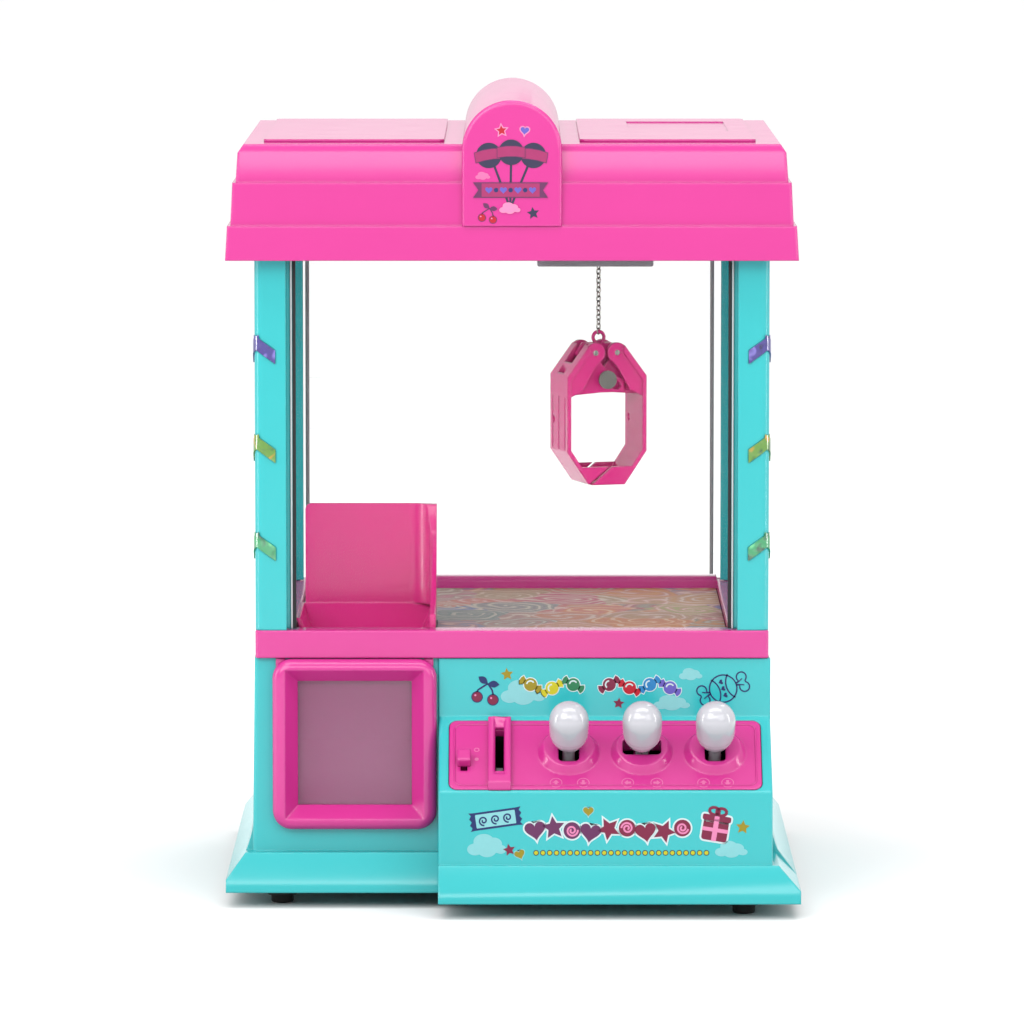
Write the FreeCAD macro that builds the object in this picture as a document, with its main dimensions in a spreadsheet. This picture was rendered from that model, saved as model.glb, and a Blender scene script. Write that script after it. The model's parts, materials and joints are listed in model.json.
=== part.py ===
import FreeCAD, Part
import math
import os
import types

import Sketcher
from FreeCAD import Placement, Rotation, Vector

# Toy claw crane machine for a table top. Millimetres, +Z up, front towards -Y.
# Every piece is drawn about the cabinet's own centre line, and the whole machine is then
# moved back by half of what the console adds in front, so that the origin is the centre
# of the footprint, on the surface that the feet stand on.

SIZES = {
    # Mouldings in general
    "wall": 2.2,
    "fit_gap": 0.3,
    "thin_wall": 1.6,
    "run_gap": 0.05,
    # Lower cabinet and its plinth
    "plinth_low": 7.0,
    "plinth_lip_top": 12.7,
    "plinth_top": 24.0,
    "plinth_half_wide": 127.0,
    "plinth_half_deep": 119.5,
    "plinth_top_half_wide": 118.5,
    "plinth_top_half_deep": 112.0,
    "base_half_wide": 115.6,
    "base_half_deep": 107.0,
    "base_top_half_wide": 114.4,
    "base_top_half_deep": 105.0,
    "base_top": 110.6,
    "flare_top": 43.0,
    "flare_radius": 50.0,
    "flare_bite": 0.9,
    "plate_low": 9.0,
    "plate_thick": 2.5,
    "boss_radius": 5.0,
    "boss_top": 50.0,
    "boss_x": 108.5,
    "boss_y": 84.0,
    "screw_radius": 1.4,
    "screw_head_radius": 3.0,
    "screw_head_thick": 1.3,
    # Rubber feet
    "foot_tip_radius": 5.0,
    "foot_radius": 6.8,
    "foot_tip_tall": 3.4,
    "foot_x": 102.5,
    "foot_y": 100.0,
    "foot_console_y": 131.0,
    # Console: the housing to the right of the prize door
    "seam_x": -32.5,
    "console_right": 114.8,
    "console_back": 102.8,
    "console_top": 110.3,
    "fascia_front": 107.0,
    "fascia_low": 84.5,
    "slope_angle": 40.2,
    "slope_long": 45.3,
    "console_low_front": 143.4,
    "skirt_front": 152.6,
    "skirt_top": 23.0,
    "skirt_top_front": 145.0,
    "skirt_top_right": 117.5,
    # Control panel, measured down the slope from the fascia
    "panel_left": -27.7,
    "panel_right": 110.1,
    "panel_back": -3.0,
    "panel_front": -43.8,
    "panel_corner": 4.0,
    "panel_thick": 2.6,
    "panel_proud": 0.2,
    "flange_out": 2.0,
    "flange_out_back": 1.2,
    "flange_out_front": 0.4,
    "flange_thick": 1.6,
    "lever_first": 25.1,
    "lever_pitch": 32.3,
    "lever_v": -21.7,
    "collar_radius": 13.75,
    "collar_top_radius": 11.2,
    "collar_tall": 3.5,
    "lever_slot_long": 17.0,
    "lever_slot_wide": 9.2,
    "lever_slot_round": 2.0,
    "pivot_depth": 9.0,
    "bracket_near": 4.7,
    "bracket_thick": 3.0,
    "bracket_wide": 7.0,
    "bracket_below": 3.0,
    # Levers
    "knob_radius": 8.8,
    "knob_height": 20.7,
    "knob_seam_radius": 8.3,
    "knob_seam_height": 11.0,
    "knob_chin_radius": 6.6,
    "knob_chin_height": 7.0,
    "knob_neck_radius": 4.4,
    "knob_neck_height": 4.4,
    "stem_radius": 2.9,
    "stem_height": 2.6,
    "lever_pin_radius": 1.5,
    "lever_hub_radius": 3.6,
    "lever_foot_radius": 1.6,
    "lever_foot_long": 7.5,
    # Switches under the levers
    "switch_from": 4.2,
    "switch_long": 6.5,
    "switch_wide": 6.0,
    "switch_tall": 6.0,
    "switch_board_depth": 20.0,
    "switch_board_thick": 1.4,
    "switch_board_left": 12.0,
    "switch_board_right": 103.0,
    "switch_board_back": -8.0,
    "switch_board_front": -35.5,
    # Coin slot, its chute and the flap in it
    "coin_u": -5.5,
    "coin_bar_half": 5.05,
    "coin_bar_back": -0.8,
    "coin_bar_front": -44.6,
    "coin_bar_tall": 3.0,
    "coin_bar_slant": 2.4,
    "coin_slot_half": 1.9,
    "coin_slot_back": -8.6,
    "coin_slot_front": -34.6,
    "coin_chute_wall": 1.3,
    "coin_chute_deep": 22.0,
    "flap_pin_radius": 0.9,
    "flap_v": -31.8,
    "flap_depth": 13.0,
    "flap_long": 12.0,
    "flap_half": 1.5,
    "flap_thick": 1.2,
    # Power switch
    "power_u": -21.2,
    "power_v": -27.0,
    "power_half": 3.0,
    "power_long": 7.0,
    "power_tall": 4.6,
    "power_travel": 4.0,
    "power_slot_half": 1.5,
    "power_tongue_half": 1.2,
    "power_tongue_long": 3.0,
    # Prize door
    "door_x": -69.9,
    "bezel_half_wide": 36.45,
    "bezel_low": 34.1,
    "bezel_high": 110.2,
    "bezel_corner": 8.5,
    "bezel_front": 113.4,
    "bezel_back": 103.9,
    "bezel_round": 4.2,
    "door_half_wide": 25.3,
    "door_low": 44.6,
    "door_high": 100.1,
    "bevel_more": 5.6,
    "back_flange_half_wide": 35.0,
    "back_flange_low": 96.0,
    "back_flange_front": 106.6,
    "back_flange_back": 105.6,
    "door_cutout_in": 3.6,
    "door_lap": 1.8,
    "door_thick": 1.8,
    "door_y": 102.5,
    "door_pin_radius": 1.2,
    "door_hinge_z": 103.0,
    "door_lug_from": 28.4,
    "door_lug_thick": 3.4,
    "door_lug_reach": 2.6,
    # Prize bin behind the door
    "bin_left": -100.0,
    "bin_right": -39.8,
    "bin_back": 45.0,
    "bin_floor_front": 41.6,
    "bin_floor_back": 50.0,
    "bin_ramp_foot": 60.0,
    "bin_ramp_top": 65.5,
    "bin_top": 104.2,
    "bin_front": 99.0,
    # Tray that carries the play floor and the columns
    "tray_half_wide": 114.0,
    "tray_half_deep": 108.0,
    "tray_top": 122.8,
    "tray_open_half_wide": 96.5,
    "tray_open_half_deep": 95.5,
    "tray_ledge": 3.0,
    "tray_ledge_top": 116.6,
    "sill_top": 124.3,
    "sill_from": 97.5,
    "sill_to": 105.8,
    "floor_top": 119.0,
    # Prize chute
    "chute_left": -96.2,
    "chute_right": -34.0,
    "chute_front": 95.2,
    "chute_back": 36.0,
    "chute_wall": 2.0,
    "chute_crease": 127.0,
    "chute_front_top": 120.6,
    "chute_top": 172.4,
    "chute_panel_left": -93.6,
    "chute_wing_low": 128.5,
    "chute_wing_thick": 3.0,
    "chute_wing_top_thick": 1.2,
    "chute_wing_round": 10.0,
    "funnel_low": 105.0,
    "funnel_left": -86.0,
    "funnel_right": -46.0,
    "funnel_back": 56.0,
    # Columns, panes, seals
    "column_out_x": 114.0,
    "column_in_x": 100.0,
    "column_out_y": 107.0,
    "column_in_y": 93.0,
    "column_round": 4.0,
    "column_wall": 2.0,
    "column_top": 288.6,
    "pane_thick": 1.6,
    "pane_y": 100.4,
    "pane_x": 108.2,
    "pane_low": 123.1,
    "pane_top": 288.2,
    "pane_half_wide": 97.3,
    "pane_half_deep": 90.8,
    "seal_wide": 1.5,
    "seal_thick": 1.1,
    "bead_wide": 0.7,
    "bead_gap": 0.2,
    "rebate_clear": 0.1,
    "rear_rebate": 1.9,
    "rear_rebate_deep": 3.5,
    # Jewel lenses on the front columns
    "lens_top_z": 247.8,
    "lens_middle_z": 203.8,
    "lens_low_z": 160.2,
    "lens_wide": 9.3,
    "lens_drop": 6.7,
    "lens_tall": 6.0,
    "lens_proud": 0.7,
    "lens_sunk": 1.2,
    # Loading door at the rear
    "rear_hinge_x": 97.2,
    "rear_door_left": -97.4,
    "rear_door_right": 95.2,
    "rear_door_low": 124.8,
    "rear_door_top": 287.0,
    "rear_pin_radius": 1.2,
    "rear_knuckle_radius": 1.9,
    "rear_knuckle_tall": 10.0,
    # Frame that ties the column tops together
    "frame_half_wide": 123.6,
    "frame_half_deep": 114.7,
    "frame_open_half_wide": 99.0,
    "frame_open_half_deep": 93.5,
    "frame_thick": 4.0,
    # Roof
    "rim_low": 287.8,
    "rim_top": 303.0,
    "rim_half_wide": 126.4,
    "rim_half_deep": 117.5,
    "tier_draft": 0.9,
    "tier_step": 1.4,
    "second_tier_top": 322.0,
    "third_tier_top": 335.0,
    "deck": 338.8,
    "deck_chamfer": 2.6,
    "roof_wall": 2.2,
    "arch_half": 22.0,
    "arch_spring": 336.5,
    "arch_wall": 2.2,
    "arch_round": 1.8,
    "pad_thick": 1.3,
    "pad_back": 98.0,
    "pad_front": 93.0,
    "left_pad_left": -110.0,
    "left_pad_right": -30.0,
    "right_pad_left": 30.0,
    "right_pad_right": 108.0,
    "recess_left": 53.0,
    "recess_right": 98.0,
    "recess_front": -20.0,
    "recess_back": 70.0,
    "recess_deep": 0.6,
    # Gantry: rails on the frame, bridge across them, trolley along the bridge
    "rail_in": 103.4,
    "rail_out": 109.0,
    "rail_half_long": 92.0,
    "rail_tall": 5.4,
    "shoe_gap": 0.3,
    "truck_half_deep": 14.0,
    "truck_rear": 24.5,
    "truck_outer": 113.0,
    "truck_right_inner": 88.6,
    "truck_left_inner": 92.0,
    "truck_top": 311.0,
    "truck_skirt_low": 293.6,
    "bridge_rod_radius": 2.0,
    "bridge_rod_y": 10.0,
    "bridge_rod_z": 306.0,
    "rod_into_truck": 6.0,
    "gear_module": 1.0,
    "gear_teeth": 12,
    "gear_thick": 3.4,
    "gear_tip": 0.85,
    "gear_root": 1.3,
    "tooth_tip_half": 0.33,
    "tooth_root_half": 0.98,
    "gear_shaft_radius": 1.2,
    "rack_back": 2.2,
    "rail_rack_teeth": 44,
    "bridge_rack_teeth": 60,
    "bridge_rack_shift": 11,
    "bridge_gear_x": 96.2,
    "bridge_gear_low": 293.6,
    "bridge_motor_radius": 7.0,
    "bridge_motor_low": 299.4,
    "bridge_motor_top": 320.0,
    # Trolley
    "trolley_x": 37.8,
    "trolley_half_wide": 26.35,
    "trolley_half_deep": 22.0,
    "trolley_low": 278.7,
    "trolley_rim": 295.8,
    "trolley_wall": 1.4,
    "carrier_low": 296.0,
    "carrier_thick": 2.0,
    "carrier_in": 1.4,
    "carrier_boss_x": 20.0,
    "carrier_boss_half": 4.0,
    "carrier_boss_top": 310.0,
    "chain_hole_radius": 3.0,
    "trolley_gear_x": 35.8,
    "trolley_gear_y": 13.0,
    "trolley_gear_low": 299.0,
    "trolley_motor_radius": 6.2,
    "trolley_motor_low": 280.8,
    "drum_radius": 6.0,
    "drum_flange_radius": 7.2,
    "drum_y": -7.6,
    "drum_z": 287.6,
    "drum_half_long": 6.6,
    "drum_flange_thick": 1.4,
    "drum_axle_radius": 1.5,
    "drum_bracket_from": 8.6,
    "drum_bracket_thick": 2.0,
    "hoist_motor_from": 11.6,
    "hoist_motor_long": 11.0,
    "hoist_motor_radius": 6.0,
    # Chain
    "claw_x": 39.5,
    "claw_turn": 18.0,
    "link_pitch": 3.1,
    "link_half_wide": 1.125,
    "link_half_long": 1.86,
    "link_wire_radius": 0.3,
    "chain_links": 28,
    # Claw
    "ring_z": 245.0,
    "ring_radius": 2.6,
    "ring_wire_radius": 0.8,
    "puller_radius": 1.4,
    "puller_boss_radius": 2.6,
    "puller_boss_half": 3.6,
    "claw_pin_z": 226.5,
    "claw_pin_radius": 1.5,
    "claw_pin_half_long": 13.6,
    "claw_disc_radius": 4.2,
    "claw_disc_thick": 1.1,
    "knuckle_x": 5.2,
    "knuckle_z": 238.7,
    "knuckle_radius": 4.6,
    "knuckle_pin_radius": 1.2,
    "head_half_wide": 10.2,
    "head_low": 229.6,
    "head_web_top": 232.6,
    "head_top": 242.6,
    "cheek_out": 4.3,
    "cheek_in": 2.0,
    "jaw_half_wide": 19.0,
    "jaw_shoulder_z": 226.0,
    "jaw_wall_low": 193.5,
    "jaw_low": 178.4,
    "jaw_low_half": 8.5,
    "jaw_thick": 1.8,
    "jaw_half_deep": 12.5,
    "jaw_lip_top": 186.6,
    "jaw_plate_low": 218.6,
    "arm_plate_out": 11.6,
    "arm_plate_in": 9.0,
    "left_ear_out": 9.0,
    "left_ear_in": 6.8,
    "right_ear_out": 6.5,
    "right_ear_in": 4.6,
    "ear_low": 220.4,
    "ear_reach": 9.4,
    "ear_slot_radius": 1.8,
    "jaw_open_angle": 20.0,
    "jaw_open_lift": 6.0,
    "split_low_x": -7.5,
    "split_low_z": 179.0,
    "split_high_x": 1.6,
    "split_high_z": 186.5,
    "split_half_gap": 0.9,
    "arm_slab_thick": 2.0,
    "arm_notch_half": 5.4,
    "arm_notch_half_wide": 14.5,
    "arm_window_half": 4.2,
    "groove_wide": 1.0,
    "groove_deep": 0.7,
    "groove_low": 194.5,
    "groove_top": 218.5,
    "groove_side_y": 8.8,
    "jaw_hole_y": 7.5,
    "jaw_hole_z": 207.5,
    "jaw_hole_radius": 1.7,
    # Inside the base
    "battery_left": -20.0,
    "battery_right": 92.0,
    "battery_front": -30.0,
    "battery_back": 42.0,
    "battery_tall": 37.0,
    "battery_lip": 4.0,
    "contact_radius": 5.0,
    "contact_tall": 5.0,
    "board_left": -30.0,
    "board_right": 62.0,
    "board_front": 52.0,
    "board_back": 98.0,
    "board_low": 17.0,
    "board_thick": 1.6,
    "speaker_x": -72.0,
    "speaker_y": 66.0,
    "speaker_radius": 25.0,
    "speaker_tall": 13.0,
    "grille_radius": 2.0,
    "grille_ring": 9.0,
}

doc = FreeCAD.newDocument("ClawMachine")
sheet = doc.addObject("Spreadsheet::Sheet", "Sizes")
nodes = []


class Dim:
    """A length or angle: its number now, and the expression that ties it to the sheet."""

    def __init__(self, number, text):
        self.number = float(number)
        self.text = text

    def __add__(self, other):
        return Dim(self.number + number_of(other), f"({self.text} + {text_of(other)})")

    def __radd__(self, other):
        return self + other

    def __sub__(self, other):
        return Dim(self.number - number_of(other), f"({self.text} - {text_of(other)})")

    def __rsub__(self, other):
        return Dim(number_of(other) - self.number, f"({text_of(other)} - {self.text})")

    def __mul__(self, other):
        return Dim(self.number * number_of(other), f"({self.text} * {text_of(other)})")

    def __rmul__(self, other):
        return self * other

    def __truediv__(self, other):
        return Dim(self.number / number_of(other), f"({self.text} / {text_of(other)})")

    def __neg__(self):
        return Dim(-self.number, f"(0 - {self.text})")


NIL = Dim(0, "0")


def number_of(amount):
    return amount.number if isinstance(amount, Dim) else float(amount)


def text_of(amount):
    if isinstance(amount, Dim):
        return amount.text
    return f"({round(float(amount), 6)})"


def sine(angle):
    return Dim(math.sin(math.radians(angle.number)), f"sin({angle.text})")


def cosine(angle):
    return Dim(math.cos(math.radians(angle.number)), f"cos({angle.text})")


def fill_sheet():
    """Writes every driving size into the sheet and returns them as Dims by name."""
    found = types.SimpleNamespace()
    for row, (alias, number) in enumerate(SIZES.items(), start=1):
        sheet.set(f"A{row}", alias)
        sheet.set(f"B{row}", str(number))
        sheet.setAlias(f"B{row}", alias)
        setattr(found, alias, Dim(number, f"Sizes.{alias}"))
    doc.recompute()
    return found


s = fill_sheet()

# How far the whole machine moves back so that its footprint is centred on the origin.
CABINET_Y = (s.skirt_front - s.plinth_half_deep) / 2


# ---------------------------------------------------------------- building blocks


def bind(item, path, amount):
    item.setExpression(path, text_of(amount))


def turn(item, axis, angle):
    """Gives an item a rotation about one axis, with the angle tied to the sheet."""
    item.Placement = Placement(item.Placement.Base, Rotation(axis, number_of(angle)))
    bind(item, "Placement.Rotation.Angle", angle)


def put(item, x=0, y=0, z=0):
    bind(item, "Placement.Base.x", x)
    bind(item, "Placement.Base.y", y)
    bind(item, "Placement.Base.z", z)


def block(name, xs, ys, zs):
    """A box from its low and high coordinates along each axis."""
    item = doc.addObject("Part::Box", name)
    bind(item, "Length", xs[1] - xs[0])
    bind(item, "Width", ys[1] - ys[0])
    bind(item, "Height", zs[1] - zs[0])
    put(item, xs[0], ys[0], zs[0])
    return item


def frustum(name, low_xs, low_ys, low_z, high_xs, high_ys, high_z):
    """A block whose top rectangle differs from its bottom one."""
    item = doc.addObject("Part::Wedge", name)
    corners = {
        "Xmin": low_xs[0], "Xmax": low_xs[1], "Zmin": -low_ys[1], "Zmax": -low_ys[0],
        "X2min": high_xs[0], "X2max": high_xs[1], "Z2min": -high_ys[1], "Z2max": -high_ys[0],
        "Ymin": low_z, "Ymax": high_z,
    }
    for path, amount in corners.items():
        bind(item, path, amount)
    item.Placement = Placement(Vector(), Rotation(Vector(1, 0, 0), 90))
    return item


def drum(name, axis, centre, radius, low, high):
    """A cylinder along x, y or z; centre is its place in the other two axes, in order."""
    item = doc.addObject("Part::Cylinder", name)
    bind(item, "Radius", radius)
    bind(item, "Height", high - low)
    if axis == "z":
        put(item, centre[0], centre[1], low)
    elif axis == "x":
        item.Placement = Placement(Vector(), Rotation(Vector(0, 1, 0), 90))
        put(item, low, centre[0], centre[1])
    else:
        item.Placement = Placement(Vector(), Rotation(Vector(1, 0, 0), -90))
        put(item, centre[0], low, centre[1])
    return item


def cone(name, centre, low_radius, high_radius, low, high):
    item = doc.addObject("Part::Cone", name)
    bind(item, "Radius1", low_radius)
    bind(item, "Radius2", high_radius)
    bind(item, "Height", high - low)
    put(item, centre[0], centre[1], low)
    return item


def prism(name, plane, points, low, high):
    """A padded outline: points lie in the YZ or XZ plane, and low and high are along its normal."""
    body = doc.addObject("PartDesign::Body", name)
    sketch = body.newObject("Sketcher::SketchObject", name + "_outline")
    origin = [part for part in body.Origin.OriginFeatures if part.Role == plane + "_Plane"]
    sketch.AttachmentSupport = [(origin[0], "")]
    sketch.MapMode = "FlatFace"
    count = len(points)
    for index in range(count):
        start = points[index]
        end = points[(index + 1) % count]
        line = Part.LineSegment(
            Vector(number_of(start[0]), number_of(start[1]), 0),
            Vector(number_of(end[0]), number_of(end[1]), 0),
        )
        sketch.addGeometry(line, False)
    for index in range(count):
        sketch.addConstraint(Sketcher.Constraint("Coincident", index, 2, (index + 1) % count, 1))
        for kind, amount in zip(("DistanceX", "DistanceY"), points[index]):
            rule = Sketcher.Constraint(kind, -1, 1, index, 1, number_of(amount))
            place = sketch.addConstraint(rule)
            bind(sketch, f"Constraints[{place}]", amount)
    pad = body.newObject("PartDesign::Pad", name + "_pad")
    pad.Profile = sketch
    pad.SideType = "Symmetric"
    bind(pad, "Length", high - low)
    sketch.Visibility = False
    axis = {"YZ": "x", "XZ": "y", "XY": "z"}[plane]
    bind(body, "Placement.Base." + axis, (low + high) / 2)
    return body


def join(name, *items):
    item = doc.addObject("Part::MultiFuse", name)
    item.Shapes = list(items)
    item.Refine = True
    return item


def cut(name, base, *tools):
    item = doc.addObject("Part::Cut", name)
    item.Base = base
    item.Tool = tools[0] if len(tools) == 1 else join(name + "_tools", *tools)
    item.Refine = True
    return item


def shared(name, *items):
    item = doc.addObject("Part::MultiCommon", name)
    item.Shapes = list(items)
    item.Refine = True
    return item


def group(name, *items):
    item = doc.addObject("Part::Compound", name)
    item.Links = list(items)
    return item


def copy_at(name, item, x=0, y=0, z=0, axis=None, angle=0):
    """The same shape again, somewhere else."""
    again = group(name, item)
    if axis:
        again.Placement = Placement(Vector(), Rotation(axis, number_of(angle)))
    put(again, x, y, z)
    return again


def mirrored(name, item, normal):
    again = doc.addObject("Part::Mirroring", name)
    again.Source = item
    again.Normal = normal
    return again


def rounded(name, base, radius, wanted):
    """Fillets the edges that wanted() accepts by their middle point and direction."""
    doc.recompute()
    item = doc.addObject("Part::Fillet", name)
    item.Base = base
    size = number_of(radius)
    picks = []
    for index, edge in enumerate(base.Shape.Edges, start=1):
        ends = [vertex.Point for vertex in edge.Vertexes]
        middle = edge.valueAt((edge.FirstParameter + edge.LastParameter) / 2)
        along = (ends[-1] - ends[0]) if len(ends) > 1 else Vector()
        if wanted(middle, along):
            picks.append((index, size, size))
    item.Edges = picks
    doc.recompute()
    return item


def runs_along(along, axis):
    """True for an edge whose two ends differ mostly along one axis."""
    size = along.Length
    return size > 0 and abs(getattr(along, axis)) > 0.95 * size


def node(label, item, turned=None):
    """Names a finished sub-part and moves it with the cabinet. turned: None, slope or claw."""
    if item.TypeId not in ("Part::Compound",):
        item = group(label + "_piece", item)
    if turned == "slope":
        turn(item, Vector(1, 0, 0), s.slope_angle)
        put(item, 0, CABINET_Y - s.fascia_front, s.fascia_low)
    elif turned == "claw":
        turn(item, Vector(0, 0, 1), s.claw_turn)
        put(item, s.claw_x, CABINET_Y, 0)
    else:
        put(item, 0, CABINET_Y, 0)
    item.Label = label
    nodes.append(item)


def both(amount):
    return (-amount, amount)


# ---------------------------------------------------------------- lower cabinet


def cabinet_solid(name, shrink, low):
    """The filled outer form of the base, or of its cavity when shrink is a wall."""
    lip = block(
        name + "_lip", both(s.plinth_half_wide - shrink), both(s.plinth_half_deep - shrink),
        (low, s.plinth_lip_top),
    )
    slope = frustum(
        name + "_slope", both(s.plinth_half_wide - shrink), both(s.plinth_half_deep - shrink),
        s.plinth_lip_top, both(s.plinth_top_half_wide - shrink),
        both(s.plinth_top_half_deep - shrink), s.plinth_top - shrink,
    )
    walls = frustum(
        name + "_walls", both(s.base_half_wide - shrink), both(s.base_half_deep - shrink), low,
        both(s.base_top_half_wide - shrink), both(s.base_top_half_deep - shrink),
        s.base_top,
    )
    return join(name, lip, slope, walls)


def side_flare(name, side):
    """The concave sweep from the plinth up into a side wall."""
    outer = s.plinth_top_half_wide
    blank = block(
        name + "_blank", (s.base_half_wide - 3, outer), both(s.base_top_half_deep - 2),
        (s.plinth_top - 1, s.flare_top),
    )
    hollow = drum(
        name + "_hollow", "y", (s.base_half_wide - s.flare_bite + s.flare_radius, s.flare_top),
        s.flare_radius, -s.base_half_deep, s.base_half_deep,
    )
    flare = cut(name + "_right", blank, hollow)
    return flare if side > 0 else mirrored(name, flare, Vector(1, 0, 0))


def base_shell():
    outer = join(
        "base_outer", cabinet_solid("base_form", NIL, s.plinth_low),
        side_flare("flare_right", 1), side_flare("flare_left", -1),
    )
    soft = rounded(
        "base_soft", outer, 1.6,
        lambda middle, along: runs_along(along, "z") and abs(middle.x) > s.base_top_half_wide.number - 1
        and abs(middle.y) > s.base_top_half_deep.number - 1 and middle.z > s.flare_top.number,
    )
    cavity = cabinet_solid("base_cavity", s.wall, s.plinth_low - 1)
    mouth = block("base_mouth", both(s.base_top_half_wide - s.wall),
                  both(s.base_top_half_deep - s.wall), (s.base_top - 1, s.base_top + 1))
    notch = block(
        "console_notch", (s.seam_x, s.plinth_half_wide + 1),
        (-s.plinth_half_deep - 1, -s.console_back), (s.plinth_low - 1, s.base_top + 1),
    )
    doorway = block(
        "doorway", (s.door_x - s.bezel_half_wide + s.door_cutout_in,
                    s.door_x + s.bezel_half_wide - s.door_cutout_in),
        (-s.base_half_deep - 2, -s.base_top_half_deep + s.wall + 2),
        (s.bezel_low + s.door_cutout_in, s.bezel_high - s.door_cutout_in),
    )
    shell = cut("base_walls", soft, cavity, mouth, notch, doorway)
    posts = [
        drum(f"base_boss_{x_sign:+d}_{y_sign:+d}".replace("+", "p").replace("-", "m"), "z",
             (s.boss_x * x_sign, s.boss_y * y_sign), s.boss_radius,
             s.plate_low + s.plate_thick, s.boss_top)
        for x_sign, y_sign in ((-1, -1), (-1, 1), (1, 1))
    ]
    bores = [
        drum(post.Name + "_bore", "z", (post_x, post_y), s.screw_radius,
             s.plate_low, s.plate_low + 10)
        for post, (post_x, post_y) in zip(posts, screw_places()[:3])
    ]
    whole = cut("base_whole", join("base_posts", shell, *posts), *bores)
    node("base_shell", whole)
    return whole


def screw_places():
    """Base screws: three into the cabinet's bosses, three into the console and bin."""
    return [
        (-s.boss_x, -s.boss_y), (-s.boss_x, s.boss_y), (s.boss_x, s.boss_y),
        (s.console_right - 24, -s.skirt_top_front + 7), (s.seam_x + 9, -s.skirt_top_front + 7),
        cover_screw_place(),
    ]


def cover_screw_place():
    """Between the first two cells, just inside the battery cover's front edge."""
    cell = (s.battery_right - s.battery_left - s.thin_wall * 2) / 3
    return (s.battery_left + s.thin_wall + cell, s.battery_front + s.battery_lip + 4)


def base_plate():
    top = s.plate_low + s.plate_thick
    zs = (s.plate_low, top)
    inset = s.wall + s.fit_gap
    main = block("plate_main", both(s.plinth_half_wide - inset),
                 (-s.console_back + 1, s.plinth_half_deep - inset), zs)
    left_front = block("plate_left_front", (-s.plinth_half_wide + inset, s.seam_x - inset),
                       (-s.plinth_half_deep + inset, -s.console_back + 1), zs)
    console = block("plate_console", (s.seam_x + inset, s.plinth_half_wide - inset),
                    (-s.skirt_front + inset, -s.console_back + 1), zs)
    battery_hole = block(
        "plate_battery_hole", (s.battery_left + s.battery_lip, s.battery_right - s.battery_lip),
        (s.battery_front + s.battery_lip, s.battery_back - s.battery_lip),
        (s.plate_low - 1, top + 1),
    )
    holes = [
        drum(f"plate_hole_{index}", "z", place, s.screw_radius, s.plate_low - 1, top + 1)
        for index, place in enumerate(screw_places()[:5])
    ]
    grille = [
        drum(f"grille_{index}", "z",
             (s.speaker_x + s.grille_ring * round(math.cos(index * math.pi / 3), 4) * (index < 6),
              s.speaker_y + s.grille_ring * round(math.sin(index * math.pi / 3), 4) * (index < 6)),
             s.grille_radius, s.plate_low - 1, top + 1)
        for index in range(7)
    ]
    plate = cut("plate_cut", join("plate_blank", main, left_front, console),
                battery_hole, *holes, *grille)
    node("base_plate", plate)


def base_screws():
    screws = []
    for index, place in enumerate(screw_places()):
        head = drum(f"screw_head_{index}", "z", place, s.screw_head_radius,
                    s.plate_low - s.screw_head_thick, s.plate_low)
        shank = drum(f"screw_shank_{index}", "z", place, s.screw_radius,
                     s.plate_low, s.plate_low + 10)
        screws.append(join(f"screw_{index}", head, shank))
    node("base_screws", group("base_screw_set", *screws))


def rubber_feet():
    places = [(-s.foot_x, -s.foot_y), (s.foot_x, -s.foot_console_y),
              (-s.foot_x, s.foot_y), (s.foot_x, s.foot_y)]
    feet = []
    for index, place in enumerate(places):
        tip = drum(f"foot_tip_{index}", "z", place, s.foot_tip_radius, NIL,
                   s.foot_tip_tall)
        pad = drum(f"foot_pad_{index}", "z", place, s.foot_radius, s.foot_tip_tall, s.plate_low)
        foot = join(f"foot_{index}", tip, pad)
        feet.append(rounded(f"foot_soft_{index}", foot, 0.6,
                            lambda middle, along: middle.z < s.plate_low.number - 0.5))
    node("rubber_feet", group("foot_set", *feet))


# ---------------------------------------------------------------- console


def console_form(name, shrink, low):
    """Console outline seen from the side, filled, or its cavity when shrink is a wall."""
    rise = s.slope_long * sine(s.slope_angle)
    run = s.slope_long * cosine(s.slope_angle)
    lowered = shrink / cosine(s.slope_angle)
    tangent = sine(s.slope_angle) / cosine(s.slope_angle)
    panel_front = -s.fascia_front - run
    points = [
        (-s.console_back + shrink, low),
        (-s.console_back + shrink, s.console_top + shrink),
        (-s.fascia_front + shrink, s.console_top + shrink),
        (-s.fascia_front + shrink, s.fascia_low - lowered + shrink * tangent),
        (panel_front + shrink, s.fascia_low - rise - lowered + shrink * tangent),
        (-s.console_low_front + shrink, s.skirt_top - 1),
        (-s.console_low_front + shrink, low),
    ]
    body = prism(name + "_side", "YZ", points, s.seam_x + shrink, s.console_right - shrink)
    left = s.seam_x + shrink
    right = s.plinth_half_wide - shrink
    back = -s.console_back + shrink
    lip = block(name + "_lip", (left, right), (-s.skirt_front + shrink, back),
                (low, s.plinth_lip_top))
    slope = frustum(
        name + "_slope", (left, right), (-s.skirt_front + shrink, back), s.plinth_lip_top,
        (left, s.skirt_top_right - shrink), (-s.skirt_top_front + shrink, back),
        s.skirt_top - shrink,
    )
    return join(name, body, lip, slope)


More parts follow.
